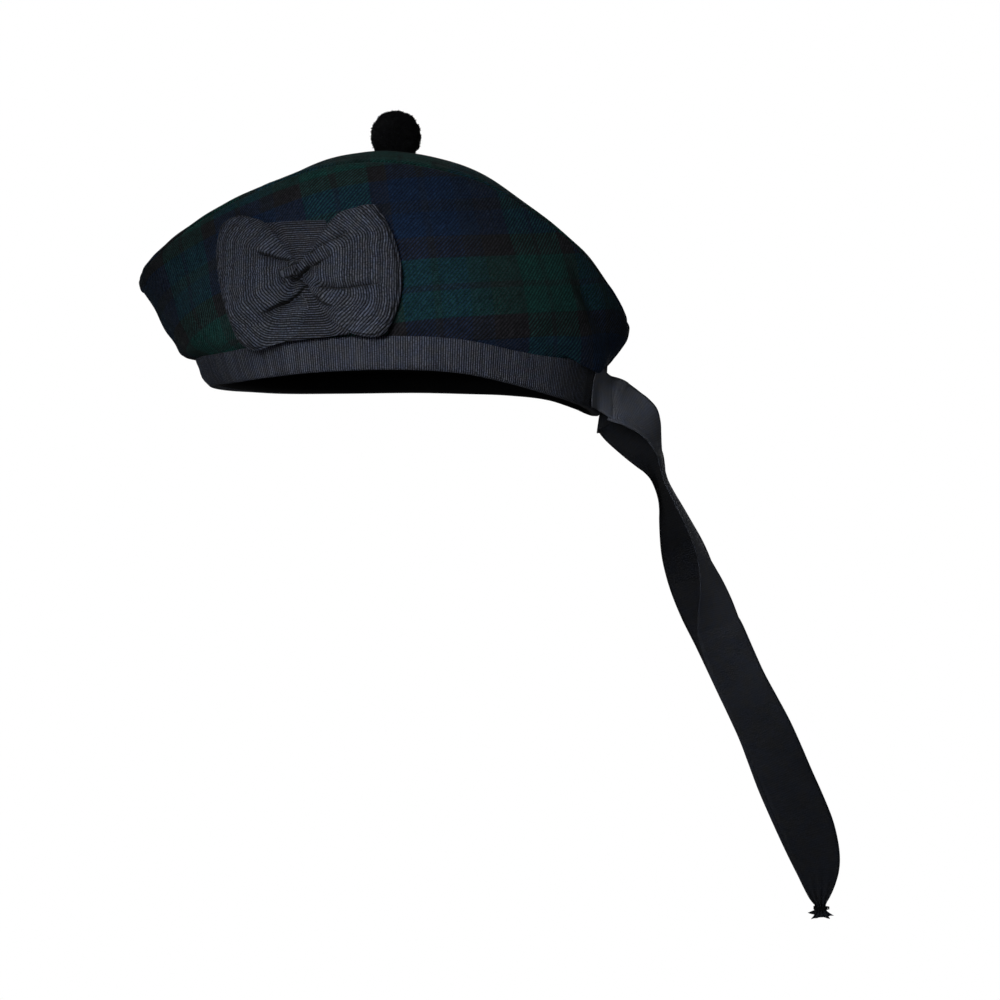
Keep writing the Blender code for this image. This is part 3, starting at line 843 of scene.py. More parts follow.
def make_ribbed(name, color, trough, top, sheen=0.02, depth=0.00012, fleck=0.55, patch=0.07):
    """Grosgrain. The map's first number counts ribs and its second is the way along a rib in millimetres."""
    g = Graph(name)
    ribs, along = g.uv()
    place = g.object_place()
    wave = g.math("COSINE", g.times(g.minus(g.math("FRACT", ribs), 0.5), 2 * math.pi))
    fine = g.sine(along, 2 * math.pi / 0.28)
    broken = g.noise(g.vector(ribs, g.times(along, 1.7)), 1.0)
    # Painted light and shade: the pieces' attribute read here lightens or darkens the ribbon, and the level
    # paints the ribs' troughs darker and their tops lighter, as painted shade and painted highlight
    painted_light_and_shade = g.add("ShaderNodeAttribute", attribute_name="painted_light_and_shade").outputs["Fac"]
    level = g.times(
        g.remap(g.white(g.math("FLOOR", ribs), 5.0), 0.0, 1.0, 1 - 0.35 * fleck, 1 + 0.35 * fleck),
        g.remap(wave, -0.6, 0.6, trough, top),
        g.uneven(broken, fleck),
        g.remap(fine, -1.0, 1.0, 0.92, 1.08),
        g.uneven(g.noise(place, 45.0, 3.0), patch),
        g.remap(painted_light_and_shade, -1.0, 1.0, 1.94, 0.06),
    )
    tint = g.mix(g.remap(g.noise(place, 240.0), 0.35, 0.65, 0.0, 1.0), (*color, 1), cooler(color))
    relief = g.plus(g.times(wave, 0.5), g.times(fine, 0.12), g.times(broken, 0.4))
    return g.shade(
        {
            "Base Color": g.scale_color(tint, level),
            "Normal": g.bump(relief, depth, 0.8),
            "Roughness": g.remap(broken, 0.3, 0.7, 0.62, 0.80),
            "Specular IOR Level": 0.12,
            "Sheen Weight": sheen,
            "Sheen Roughness": 0.4,
        }
    )


def cooler(color):
    return (color[0] * 0.88, color[1] * 0.96, color[2] * 1.14, 1)


def make_plain(name, color, scale, roughness, sheen=0.0):
    """Plain close cloth or yarn, with a fine uneven grain."""
    g = Graph(name)
    place = g.object_place()
    grain = g.noise(place, scale, 3.0, 0.6)
    patch = g.noise(place, 45.0)
    level = g.times(g.uneven(grain, 0.4), g.uneven(patch, 0.15))
    rough = g.remap(grain, 0.3, 0.7, roughness - 0.08, min(roughness + 0.08, 1.0))
    return g.shade(
        {
            "Base Color": g.scale_color(g.mix(patch, (*color, 1), cooler(color)), level),
            "Normal": g.bump(grain, 0.00015, 0.7),
            "Roughness": rough,
            "Specular IOR Level": 0.2,
            "Sheen Weight": sheen,
        }
    )


def unroll(points, normals, middle, row):
    """Lengths over the cloth from one of its places: along its level lines to a viewer's right, and up it."""
    right = unit(np.cross(UP, normals))
    around = np.diff(points, axis=0)[:, row]
    upward = np.diff(points, axis=1)
    lengths = []
    for axis in (right, np.cross(normals, right)):
        level = np.cumsum(dot(around, (axis[1:, row] + axis[:-1, row]) / 2))
        level = np.concatenate(([0], level))[:, None]
        steps = np.cumsum(dot(upward, (axis[:, 1:] + axis[:, :-1]) / 2), axis=1)
        steps = np.concatenate((0 * level, steps), axis=1)
        lengths.append(level + steps - steps[:, row : row + 1])
    side, height = lengths
    return side - side[middle, row], height + points[middle, row, 2] - height[middle, row]


def grain_map(side, height, hand):
    """The tartan's thread counts on a side panel, cut so that its level stripes rise to the back."""
    back = -side * hand
    step = 1e-3
    rise, ahead, behind = (read_column(GRAIN_ROWS, "rise", back + way) for way in (0, step, -step))
    slope = -hand * (ahead - behind) / (2 * step)
    warp = side + slope * (height - 0.055) - hand * read_column(GRAIN_ROWS, "pull", back)
    weft = height - rise
    weft = weft + CROWDING * np.maximum(weft - CROWDING_START, 0)
    return np.stack((warp, weft), axis=-1) / THREAD


def spaced(*stretches):
    """A row of places in stretches that join. Each has its start, its end and its count."""
    parts = [np.linspace(*stretch)[:-1] for stretch in stretches]
    return np.concatenate((*parts, stretches[-1][1:2]))[None, :]


def make_side(name, hand, material):
    """A side panel. Its cloth is measured out from the middle of a row a little over the band."""
    columns = 270
    phi = (-hand * np.linspace(0, math.pi, columns))[:, None]
    v = spaced((0, 1, 5), (1.0, SWELL_FOOT, 12), (SWELL_FOOT, 2.0, 66), (2.0, SIDE_TOP, 16))
    inner_v = spaced((0, 1, 3), (1.0, SWELL_FOOT, 12), (SWELL_FOOT, 2.0, 22), (2.0, SIDE_TOP, 9))
    outside = wool_layer(phi, v, 0.0) + overhang(phi, v)
    inside = wool_layer(phi, inner_v, -WOOL_DEPTH) + overhang(phi, inner_v)
    for face in (outside, inside):
        face[..., 1] = hand * np.maximum(hand * face[..., 1], 0.0001)
    normals = skin_normal(phi + 0 * v, v + 0 * phi)
    middle_row = int(np.argmin(np.abs(v[0] - 1.4)))
    outside_uv = grain_map(*unroll(skin(phi, v), normals, columns // 2, middle_row), hand)
    inside_uv = resample(outside_uv, v[0], inner_v[0])
    obj = make_loft("wool_" + name, shell(outside, inside), False, shell_uv(outside_uv, inside_uv))
    finish_piece(obj, material, "tartan_wool", name)


def resample(values, places, new_places):
    """Rows of pairs, read again at other places along the rows."""
    pairs = [[np.interp(new_places, places, row) for row in values[..., k]] for k in range(2)]
    return np.stack(pairs, axis=-1)


def crown_map(phi, v):
    """The tartan's thread counts on the crown: straight lengths over the cloth from its middle."""
    dense = np.linspace(5.0, 3.0, 400)
    reach = [np.interp(-v[0], -dense, path_lengths(line)) for line in skin(phi, dense[None, :])]
    corner = ridge_corner(phi)
    way = unit(point_of(corner[..., 0] - RIDGE_MIDDLE, corner[..., 1], 0))
    return way[..., :2] * (np.array(reach) / THREAD)[..., None]


def make_crown(material):
    phi = np.linspace(0, 2 * math.pi, 289)[:, None]
    outer_v = spaced((CROWN_EDGE, 4.0, 18), (4.0, CROWN_END, 44))
    inner_v = spaced((CROWN_EDGE, 4.0, 7), (4.0, CROWN_END, 14))
    loops = shell(wool_layer(phi, outer_v, 0.0), wool_layer(phi, inner_v, -WOOL_DEPTH))[:-1]
    obj = make_loft("wool_crown", loops, True, shell_uv(crown_map(phi, outer_v), crown_map(phi, inner_v)))
    finish_piece(obj, material, "tartan_wool", "crown")


def make_lining(material):
    phi = circle(120)[:, None]
    v = spaced((0, 1, 3), (1.0, 2.0, 22), (2.0, 4.0, 12), (4.0, 4.95, 16))
    outside = wool_layer(phi, v, -WALL - GAP)
    wrinkle = undulation(outside, 0.030, 21) * 0.0005 * smooth_step(1.1, 1.6, v)
    inside = wool_layer(phi, v, -(WALL + GAP + LINING + 0.0004 + wrinkle))
    obj = make_loft("black_lining", shell(outside, inside), True)
    finish_piece(obj, material, "lining_cloth", "lining")


def make_band(material, painted_shade_material):
    """The ribbon over the rim, ribbed up and down, folded softly below, with a leg turned in, and with painted
    shade at its ends and on that leg.
    """
    dense = np.linspace(0, 2 * math.pi, 2001)
    outer = GAP + BINDING
    inner = -WALL - GAP - LINING - GAP
    lengths = path_lengths(hem_layer(dense, 0.5, outer))
    ribs = int(lengths[-1] / RIB)
    phase = np.arange(ribs * STEPS_PER_RIB + 1) / STEPS_PER_RIB
    phi = np.interp(phase / ribs * lengths[-1], lengths, dense)
    relief = -np.cos(2 * math.pi * phase) * RIB_RELIEF

    # Rows over the ribbon: the share of the hem's height, how far outside and below it, and the ribs' depth
    top = 1 - GAP / hem_height(phi)
    turn_in = BAND_TURN_IN / hem_height(phi)
    at_front = bell(np.sin(phi / 2), 0.28)
    rows = []
    for share in np.linspace(1, 0, 9):
        edge = 0.00022 * bell(share - 0.93, 0.05) - 0.0003 * smooth_step(0.985, 1.0, share)
        full = at_front * (0.0010 + 0.0016 * bell(share - 0.35, 0.32))
        rows.append((top * share, outer + edge + full, 0, 1))
    middle = (outer + inner - BINDING) / 2
    half = (outer - inner + BINDING) / 2
    for turn in (0.25, 0.5, 0.75):
        angle = turn * math.pi
        rows.append((0, middle + half * math.cos(angle), outer * math.sin(angle) ** 0.7, 0.8))
    rows += [(turn_in * share, inner - BINDING, 0, 0.6) for share in (0, 0.5, 1)]
    rows += [(turn_in, inner, 0, 0), (0, inner, 0, 0), (0, inner, GAP, 0), (0, GAP, GAP, 0)]
    rows += [(top * share, GAP, 0, 0) for share in (0, 0.5, 1)]
    in_shade = np.arange(10, 17)

    wave = undulation(hem_point(phi, 1.0), 0.060, 31) * 0.00018
    points = []
    uv = []
    along = 0.0
    for share, out, below, ribbed in rows:
        reach = out + relief * ribbed + wave * (ribbed > 0.9)
        points.append(hem_layer(phi, share + 0 * phi, reach, below + 0 * phi))
        if uv:
            along += np.mean(np.linalg.norm(points[-1] - points[-2], axis=-1)) * 1000
        uv.append(np.stack((phase, 0 * phase + along), axis=-1))
    uv.append(uv[0])
    loops = np.stack(points, axis=1)[:-1]
    obj = make_loft("ribbed_band", loops, True, np.stack(uv, axis=1))
    # Painted shade: the band is darker towards the front and the back, where it turns away from the light
    share = rim_share(phi[:-1])
    painted_end_shade = 0.36 * (1 - smooth_step(0.03, 0.16, share)) + 0.60 * smooth_step(0.82, 0.97, share)
    paint_light_and_shade(obj, painted_end_shade[:, None] + np.zeros(loops.shape[:2]))
    finish_piece(obj, material, "grosgrain", "band")
    # The inner leg, from the foot of the turn to its end, takes a near-black copy of the ribbon: painted shade
    obj.data.materials.append(painted_shade_material)
    rows_of_faces = np.arange(len(obj.data.polygons)) % len(rows)
    obj.data.polygons.foreach_set("material_index", np.isin(rows_of_faces, in_shade).astype(int))


# The height of the left side over the band, at the knot
KNOT_SHARE = (KNOT_BACK - RIDGE_START) / RIDGE_LENGTH
WALL_RISE = CROWN_HEIGHT * read_column(RIDGE_ROWS, "ridge", KNOT_SHARE) - BAND_HEIGHT


def wall_place(x, z):
    """(phi, v) of places on the left side, by Newton's method, none of them below the swell's foot."""
    phi = np.full(x.shape, math.pi / 2)
    v = np.full(x.shape, 1.5)
    step = 1e-4
    for _ in range(20):
        here = skin(phi, v)
        by_phi = (skin(phi + step, v) - here) / step
        by_v = (skin(phi, v + step) - here) / step
        miss_x = x - here[..., 0]
        miss_z = z - here[..., 2]
        area = by_phi[..., 0] * by_v[..., 2] - by_phi[..., 2] * by_v[..., 0]
        v = v + (by_phi[..., 0] * miss_z - by_phi[..., 2] * miss_x) / area
        low = v <= SWELL_FOOT
        freed = phi + (miss_x * by_v[..., 2] - miss_z * by_v[..., 0]) / area
        v = np.where(low, SWELL_FOOT, v)
        held = phi + (x - skin(phi, v)[..., 0]) / by_phi[..., 0]
        phi = np.where(low, held, freed)
    return phi, v


def on_wall(back, up, out):
    """Points by the rosette: back from its knot, up in shares of the side's height, and off the wool."""
    back, up, out = np.broadcast_arrays(back, up, out)
    height = BAND_HEIGHT + WALL_RISE * (KNOT_UP_SHARE + up)
    phi, v = wall_place(KNOT_BACK + back, height)
    above = skin(phi, v) + skin_normal(phi, v) * out[..., None]
    foot = skin(phi, v) + rim_outward(phi) * out[..., None]
    foot[..., 2] = height
    lifted = smooth_step(SWELL_FOOT, SWELL_FOOT + 0.10, v)[..., None]
    return foot + (above - foot) * lifted


# Creases of the rosette: points in millimetres back and up from the knot, how deep the crease is, how far its
# folds reach to each side and which side lies over the other, 1 for the left of the way out
CREASES = table(
    "path depth reach over",
    (((1.6, 3.4), (-1.4, 6.8), (-5.4, 11.0), (-9.4, 16.4), (-12.6, 21.5)), 1.5, 3.0, 1),
    (((1.8, 4.6), (4.2, 8.0), (9.0, 15.5), (13.5, 22.0), (16.8, 27.0)), 0.7, 2.4, -1),
    (((-3.4, 3.6), (-6.3, 4.4), (-11.6, 5.8), (-16.6, 7.4), (-21.4, 9.7)), 0.8, 3.0, -1),
    (((2.5, 5.5), (5.4, 6.8), (9.4, 9.7), (13.7, 11.9), (18.2, 13.7), (23.7, 18.0)), 1.2, 3.6, -1),
    (((7.1, -8.2), (14.4, -8.8), (18.3, -9.3), (23.1, -9.1), (30.7, -7.9), (40.5, -6.4)), 1.5, 3.6, -1),
    (((3.9, -7.0), (1.3, -9.1), (-1.3, -11.5), (-5.0, -13.8), (-11.9, -16.5), (-19.5, -20.0)), 1.7, 3.4, -1),
    (((-5.2, -4.2), (-1.3, -4.6), (0.4, -3.5), (2.7, -1.6), (4.4, -0.3), (5.6, 1.8), (10.0, 1.9)), 1.4, 2.6, 1),
    (((-6.7, 0.6), (-6.9, -3.1), (-6.0, -7.2)), 1.1, 1.8, 1),
    (((-0.4, -5.1), (2.8, -6.5), (4.6, -8.2)), 0.8, 1.6, -1),
    (((4.4, -11.0), (8.6, -12.8), (11.6, -14.9), (17.3, -17.6)), 0.8, 2.6, 1),
)
# How wide the step from one side of a crease to the other is, in millimetres
CREASE_SHARPNESS = 0.22

# The folds that twist over the knot: their middles, half widths at both ends and height, all in millimetres,
# and whether their ribs are their own
TWISTS = table(
    "path wide_start wide_end height own_ribs",
    (((3.9, -7.3), (0.6, -7.4), (-2.4, -8.4), (-6.0, -9.8), (-12.0, -12.6)), 0.5, 4.4, 0.5, False),
    (
        ((16.5, 9.9), (11.8, 7.6), (7.5, 5.0), (3.4, 2.4), (-0.4, -0.6), (-4.2, -1.7), (-6.8, -1.9)),
        3.2, 2.0, 1.1, True,
    ),
)

# The ways that the ribbon runs out from the knot, in degrees, with their weights: its ribs cross them square
BOW_WAYS = [(way, 0.93 if way % 90 else 1.0) for way in range(0, 360, 45)]


def path_place(path, back, up):
    """Places by a path: how far along it in all and as a share, and how far to its left."""
    path = np.array(path)
    best = np.full(back.shape, 1e9)
    signed = np.zeros(back.shape)
    share = np.zeros(back.shape)
    along = np.zeros(back.shape)
    before = 0.0
    for k, (start, end) in enumerate(zip(path, path[1:])):
        run = end - start
        length = math.hypot(*run)
        t = np.clip(((back - start[0]) * run[0] + (up - start[1]) * run[1]) / length**2, 0, 1)
        gap_x = back - start[0] - run[0] * t
        gap_z = up - start[1] - run[1] * t
        distance = np.hypot(gap_x, gap_z)
        side = np.sign(run[0] * gap_z - run[1] * gap_x)
        nearer = distance < best
        best = np.where(nearer, distance, best)
        signed = np.where(nearer, side * distance, signed)
        share = np.where(nearer, (k + t) / (len(path) - 1), share)
        along = np.where(nearer, before + t * length, along)
        before += length
    return along, share, signed


def fold_field(back, up):
    """The rosette's folds at places in millimetres from its knot: relief, painted shade and count of ribs."""
    relief = np.zeros(back.shape)
    darkness = np.zeros(back.shape)
    ribs = rib_count(back, up) + 0.22 * undulation(point_of(back, up, 0), 9.0, 43)
    for crease in CREASES:
        _, share, signed = path_place(crease.path, back, up)
        away = np.abs(signed)
        fade = (1 - smooth_step(0.80, 1.0, share)) * smooth_step(-0.01, 0.10, share)
        high = signed * crease.over
        step = np.tanh(high / CREASE_SHARPNESS) * np.exp(-away / crease.reach)
        valley = bell(high + 0.15, 0.48)
        # Painted shade along each crease: narrow on its high side, wider on its low side
        soft = np.maximum(bell(high, 0.9), 0.55 * bell(high, 2.6))
        shade = np.where(high > 0, bell(high, 0.75), soft)
        relief += crease.depth * fade * (0.66 * step - 0.75 * valley)
        darkness = np.maximum(darkness, min(1.0, crease.depth * 1.1) * fade * shade)
        ribs = ribs + crease.depth * fade * np.sign(high) * np.exp(-away / 4.0) * 0.55
    for twist in TWISTS:
        along, share, signed = path_place(twist.path, back, up)
        half = twist.wide_start + (twist.wide_end - twist.wide_start) * share
        inside = np.abs(signed) / half
        fade = smooth_step(0.0, 0.35, share) if twist.wide_start > 1 else 1 - smooth_step(0.55, 1.0, share)
        relief += twist.height * fade * np.sqrt(np.clip(1 - inside**2, 0, 1))
        over = (inside < 1) & (fade > 0.3)
        # Over a twist its own ribs show, the creases' painted shade under it fades, and a painted shadow runs
        # along its edges
        if twist.own_ribs:
            darkness = np.where(over, darkness * smooth_step(0.75, 1.0, inside), darkness)
            darkness = np.maximum(darkness, fade * bell(inside - 1.05, 0.16))
            ribs = np.where(over, along / (RIB * 1000), ribs)
    return relief, darkness, ribs


def rib_count(back, up):
    """How many ribs out from the knot a place in millimetres is, counted square to the nearest way."""
    total = np.zeros(back.shape)
    for way, weight in BOW_WAYS:
        angle = math.radians(way)
        total += np.maximum(weight * (back * math.cos(angle) + up * math.sin(angle)), 0) ** 40
    return total ** (1 / 40) / (RIB * 1000)


def make_rosette_bow(material):
    """Two gathered lobes: a height field in rings round the knot, with ribs, folds and a doubled edge."""
    turns = 460
    degrees = BOW_ROWS[0].along + 360 * np.arange(turns + 1) / turns
    reach = read_column(BOW_ROWS, "reach", degrees)[:, None]
    way = np.radians(degrees)[:, None]
    rings = np.concatenate(([0.004], np.linspace(0.012, 0.985, 176), [0.995, 1.0]))[None, :]
    under_rings = np.array([1.0, 0.96, 0.6, 0.004])[None, :]

    def place(rings):
        """Places over the bow, back and up from the knot."""
        return reach * np.cos(way) * BOW_LENGTH * rings, reach * np.sin(way) * BOW_RISE_SHARE * rings

    back, up = place(rings)
    back_mm = back * 1000
    up_mm = up * WALL_RISE * 1000
    from_knot = np.hypot(back_mm, up_mm)
    from_edge = from_knot[:, -1:] - from_knot

    # Full lobes, drawn in round the knot
    outer = smooth_step(0.36, 0.56, np.abs(np.cos(way)))
    thickness = BOW_EDGE * (0.25 + 0.65 * outer) + (BOW_THICKNESS - BOW_EDGE) * (1 - rings**2) * 0.80
    thickness = thickness - 0.0013 * bell(from_knot - 10, 4.5)
    thickness += 0.0009 * bell(from_knot - 27, 9) * np.abs(np.cos(way))

    # The doubled edge
    lip = np.where(np.cos(way) > 0, 2.0, 1.6)
    thickness += 0.0009 * outer * smooth_step(lip - 0.2, lip + 0.2, from_edge)
    thickness -= BOW_EDGE * 0.55 * outer * (1 - smooth_step(0.0, 0.5, from_edge))
    relief, darkness, ribs = fold_field(back_mm, up_mm)
    # Painted shadow: a dark line just inside the doubled edge, under its lip
    darkness = np.maximum(darkness, 0.85 * outer * bell(from_edge - lip + 0.3, 0.42))
    radial = np.cos(way * 9 + 1.3) * 0.00022 * bell(from_knot - 8, 12)
    wave = undulation(point_of(back, up, 0), 0.022, 41) * 0.00025
    full = np.maximum(thickness + relief * 0.001 + radial + wave, BOW_EDGE * 0.3)
    rib = -np.cos(2 * math.pi * ribs) * BOW_RIB_RELIEF * smooth_step(0.2, 1.0, from_edge)
    seat = GAP + RIBBON + BOW_EASE
    top = on_wall(back, up, seat + full + rib)
    under_back, under_up = place(under_rings)
    under = on_wall(under_back, under_up, seat)

    # The map's second number isn't in true millimetres here: the ribs run round the knot
    around = np.degrees(way) * 0.4
    top_uv = np.stack((ribs, around + 0 * rings), axis=-1)
    under_ribs = rib_count(under_back * 1000, under_up * WALL_RISE * 1000)
    under_uv = np.stack((under_ribs, around + 0 * under_rings), axis=-1)
    uv = np.concatenate((top_uv, under_uv, top_uv[:, :1]), axis=1)
    obj = make_loft("ribbed_bow", np.concatenate((top, under), axis=1)[:-1], True, uv)
    paint_light_and_shade(obj, np.concatenate((darkness, 0 * under_back), axis=1)[:-1])
    finish_piece(obj, material, "grosgrain", "rosette_bow")


def make_rosette_strip(material):
    """The gathered strip behind the knot, whose level ribs show above and below it."""
    across = np.linspace(0, 1, 60)[:, None]
    down = np.linspace(0, 1, 200)[None, :]

    def place(down):
        """Places over the strip, back and up from the knot, with their map."""
        near, far = (STRIP_TOP[k] + (STRIP_BOTTOM[k] - STRIP_TOP[k]) * down for k in range(2))
        low = STRIP_LOW[0] + (STRIP_LOW[1] - STRIP_LOW[0]) * across
        back = near + (far - near) * across
        up = STRIP_HIGH + (low - STRIP_HIGH) * down
        return back, up, np.stack((rib_count(back * 1000, up * WALL_RISE * 1000), back * 1000), axis=-1)

    back, up, outside_uv = place(down)
    far = np.abs(up)
    pucker = np.cos(across * 2 * math.pi * 5.5 + 0.8) * 0.00028 * (1 - smooth_step(0.08, 0.33, far))
    lift = 0.0021 * (1 - smooth_step(0.03, 0.28, far))
    edge = 0.0003 * (1 - smooth_step(0.0, 0.02, down) + smooth_step(0.98, 1.0, down))
    rib = -np.cos(2 * math.pi * outside_uv[..., 0]) * BOW_RIB_RELIEF
    outside = on_wall(back, up, GAP + RIBBON + 0.0004 + lift + pucker - edge + rib)
    inner_back, inner_up, inside_uv = place(np.linspace(0, 1, 21)[None, :])
    inside = on_wall(inner_back, inner_up, GAP)
    obj = make_loft("ribbed_strip", shell(outside, inside), False, shell_uv(outside_uv, inside_uv))
    finish_piece(obj, material, "grosgrain", "rosette_strip")


def ball(down, around):
    """Directions by their angles down from the top and round it."""
    return point_of(np.sin(down) * np.cos(around), np.sin(down) * np.sin(around), np.cos(down))


def square_ways(run, steep):
    """Two ways square to each run and to each other."""
    helper = np.where(np.abs(run[:, 2:]) > steep, np.array((1.0, 0, 0)), UP)
    across = unit(np.cross(run, helper))
    return across, np.cross(run, across)


def make_strands(name, starts, middles, ends, radii):
    """Many three-sided tapering strands in one mesh, each through three places."""
    across, other = square_ways(unit(ends - starts), 0.8)
    points = []
    for centre, share in ((starts, 0.9), (middles, 1.0), (ends, 0.75)):
        for angle in circle(3):
            offset = across * math.cos(angle) + other * math.sin(angle)
            points.append(centre + offset * (radii * share)[:, None])
    sides = []
    for ring in (0, 3):
        for a, b in ((ring, ring + 1), (ring + 1, ring + 2), (ring + 2, ring)):
            sides.append((a, b, b + 3, a + 3))
    first = (np.arange(len(starts)) * len(points))[:, None, None]
    quads = (np.array(sides) + first).reshape(-1, 4).tolist()
    tips = (np.array(((6, 7, 8), (2, 1, 0))) + first).reshape(-1, 3).tolist()
    return make_object(name, np.stack(points, axis=1).reshape(-1, 3), quads + tips)


def make_tourie(material):
    """A ball of cut yarn ends that stand out from its middle, over a core, pressed on the crown's wool."""
    wool = wool_layer(np.linspace(0, 2 * math.pi, 61)[:, None], np.linspace(4.6, CROWN_END, 20)[None, :], 0.0)
    under = np.hypot(wool[..., 0] - TOURIE_BACK, wool[..., 1]) < TOURIE_RADIUS * TOURIE_SEAT
    sag = (wool[..., 2] - crown_height(wool[..., 0], wool[..., 1]))[under]
    lowest = np.min(sag) - TOURIE_PRESS
    top = crown_height(TOURIE_BACK, 0.0) + np.mean(sag)
    centre = np.array((TOURIE_BACK, 0, top + TOURIE_RADIUS - TOURIE_SINK))

    # Ends spread evenly over the ball, and then a little moved
    chance = np.random.default_rng(17)
    k = np.arange(YARN_ENDS) + 0.5
    directions = ball(np.arccos(1 - 2 * k / YARN_ENDS), math.pi * (1 + 5**0.5) * k)
    directions = unit(directions + chance.normal(scale=0.02, size=directions.shape))
    clumps = undulation(directions, 0.30, 18, waves=9)
    reach = TOURIE_RADIUS * (0.975 + 0.030 * clumps + chance.normal(scale=0.020, size=YARN_ENDS))
    reach *= 1 + 0.07 * np.clip(-directions[:, 2], 0, 1)
    bend = chance.normal(scale=0.06, size=directions.shape)
    starts = centre + directions * TOURIE_RADIUS * 0.72
    middles = centre + unit(directions + bend * 0.4) * (reach * 0.88)[:, None]
    ends = centre + unit(directions + bend) * reach[:, None]
    keep = ends[:, 2] > crown_height(ends[:, 0], ends[:, 1]) + lowest
    radii = chance.uniform(0.00019, 0.00029, size=YARN_ENDS)
    strands = make_strands("tourie_ends", starts[keep], middles[keep], ends[keep], radii[keep])
    finish_piece(strands, material, "tourie_yarn", "tourie")

    core = ball(np.linspace(0.01, math.pi - 0.01, 32)[None, :], circle(64)[:, None])
    core = centre + core * TOURIE_RADIUS * (0.90 + 0.015 * undulation(core, 0.4, 19))[..., None]
    core[..., 2] = np.maximum(core[..., 2], crown_height(core[..., 0], core[..., 1]) + lowest)
    finish_piece(make_loft("tourie_core", core, True), material, "tourie_yarn")


def tail_anchor():
    """The middle of the band's back, which the tails' stations are counted from."""
    return hem_layer(np.array(math.pi), 0.5, GAP + BINDING)


def tail_frames(hand, sunk):
    """Stations down a tail: middle, way across, face, width and thickness."""
    rows = TAIL_ROWS[hand]
    places = 0.5 * np.arange(2 * len(rows) - 1)
    columns = [smooth_curve(range(len(rows)), column, places) for column in zip(*rows)]
    back, down, side, turn, gather = columns
    middles = tail_anchor() + point_of(TAIL_REACH * back, RIBBON_WIDTH * side, -TAIL_DROP * down)
    run = np.empty_like(middles)
    run[1:-1] = middles[2:] - middles[:-2]
    run[-1] = middles[-1] - middles[-2]
    run[0] = (1, 0, 0)
    run[:, 1] = 0
    run = unit(run)
    turn = np.radians(turn)[:, None]
    across = point_of(-run[:, 2], 0, run[:, 0]) * np.cos(turn) + np.array((0, 1.0, 0)) * np.sin(turn)
    faces = unit(np.cross(run, across)) * -hand
    thick = RIBBON + (NECK_THICKNESS - RIBBON) * np.clip((0.9 - gather) / 0.6, 0, 1)

    # The root is sewn on the band, at two places round it
    out = GAP + BINDING + 4 * RIB_RELIEF + TAIL_THINNESS * RIBBON
    root = np.array(TAIL_ROOTS[hand])
    phi = math.pi + hand * (root / (HEAD_WIDTH / 2)) ** (1 / HEAD_SQUARENESS)
    up = unit(skin_up(phi, 0.5))
    return (
        np.concatenate((hem_layer(phi, 0.5, out) - up * (sunk + TAIL_ROOT_SINK), middles)),
        np.concatenate((up, across)),
        np.concatenate((skin_normal(phi, 0.5), faces)),
        np.concatenate((0 * root + TAIL_ROOT_WIDTH, gather)) * RIBBON_WIDTH,
        np.concatenate((0 * root + RIBBON, thick)),
    )


def spline(values, lengths, places):
    """A smooth curve through stations at lengths, read at places. A station has one number or more."""
    columns = values.reshape(len(lengths), -1).T
    return np.stack([smooth_curve(lengths, column, places) for column in columns], axis=-1)


def make_tail(name, hand, sunk, material):
    """A ribbon tail with its cross ribs, firm edges and a slight cup. Returns it and its length."""
    stations = tail_frames(hand, sunk)
    lengths = path_lengths(stations[0])
    places = np.linspace(0, lengths[-1], int(lengths[-1] / RIB * STEPS_PER_RIB))
    middle, way, face, width, thickness = (spline(values, lengths, places) for values in stations)
    way = unit(way)
    face = unit(face - way * dot(face, way)[:, None])
    done = (places / places[-1])[:, None]
    ribs = (places / RIB)[:, None]
    share = np.linspace(0.5, -0.5, 15)[None, :]
    gathered = np.clip(1 - width / RIBBON_WIDTH, 0, 1)
    cup = 0.0006 * (share**2 * 4 - 0.4) * undulation(middle, 0.12, 51)[:, None]
    pleat = 0.0011 * np.cos(share * 2 * math.pi * 4) * gathered**1.2 * smooth_step(0.6, 0.9, done)
    firm = 1 - 0.7 * smooth_step(0.44, 0.5, np.abs(share))
    rib = -np.cos(2 * math.pi * ribs) * RIB_RELIEF * 0.25 * firm
    spread = middle[:, None] + way[:, None] * (share * width)[..., None]
    spread = spread + face[:, None] * (cup + pleat)[..., None]
    half = face[:, None] * (thickness * TAIL_THINNESS + rib)[..., None]
    maps = np.stack((ribs + 0 * share, share * width * 1000), axis=-1)
    obj = make_loft("ribbed_" + name, shell(spread + half, spread - half), False, shell_uv(maps, maps))
    # Painted light and shade from the table, and painted shade on the edges of each tail's upper half
    tone = np.interp(done, *zip(*TAIL_LIGHT_AND_SHADE[hand]))
    edges = 0.5 * smooth_step(0.46, 0.5, np.abs(np.concatenate((share, share[:, ::-1]), axis=1)))
    paint_light_and_shade(obj, np.minimum(tone + edges * (1 - smooth_step(0.45, 0.55, done)), 1.0))
    finish_piece(obj, material, "tail_grosgrain", name)
    return obj, float(lengths[-1])


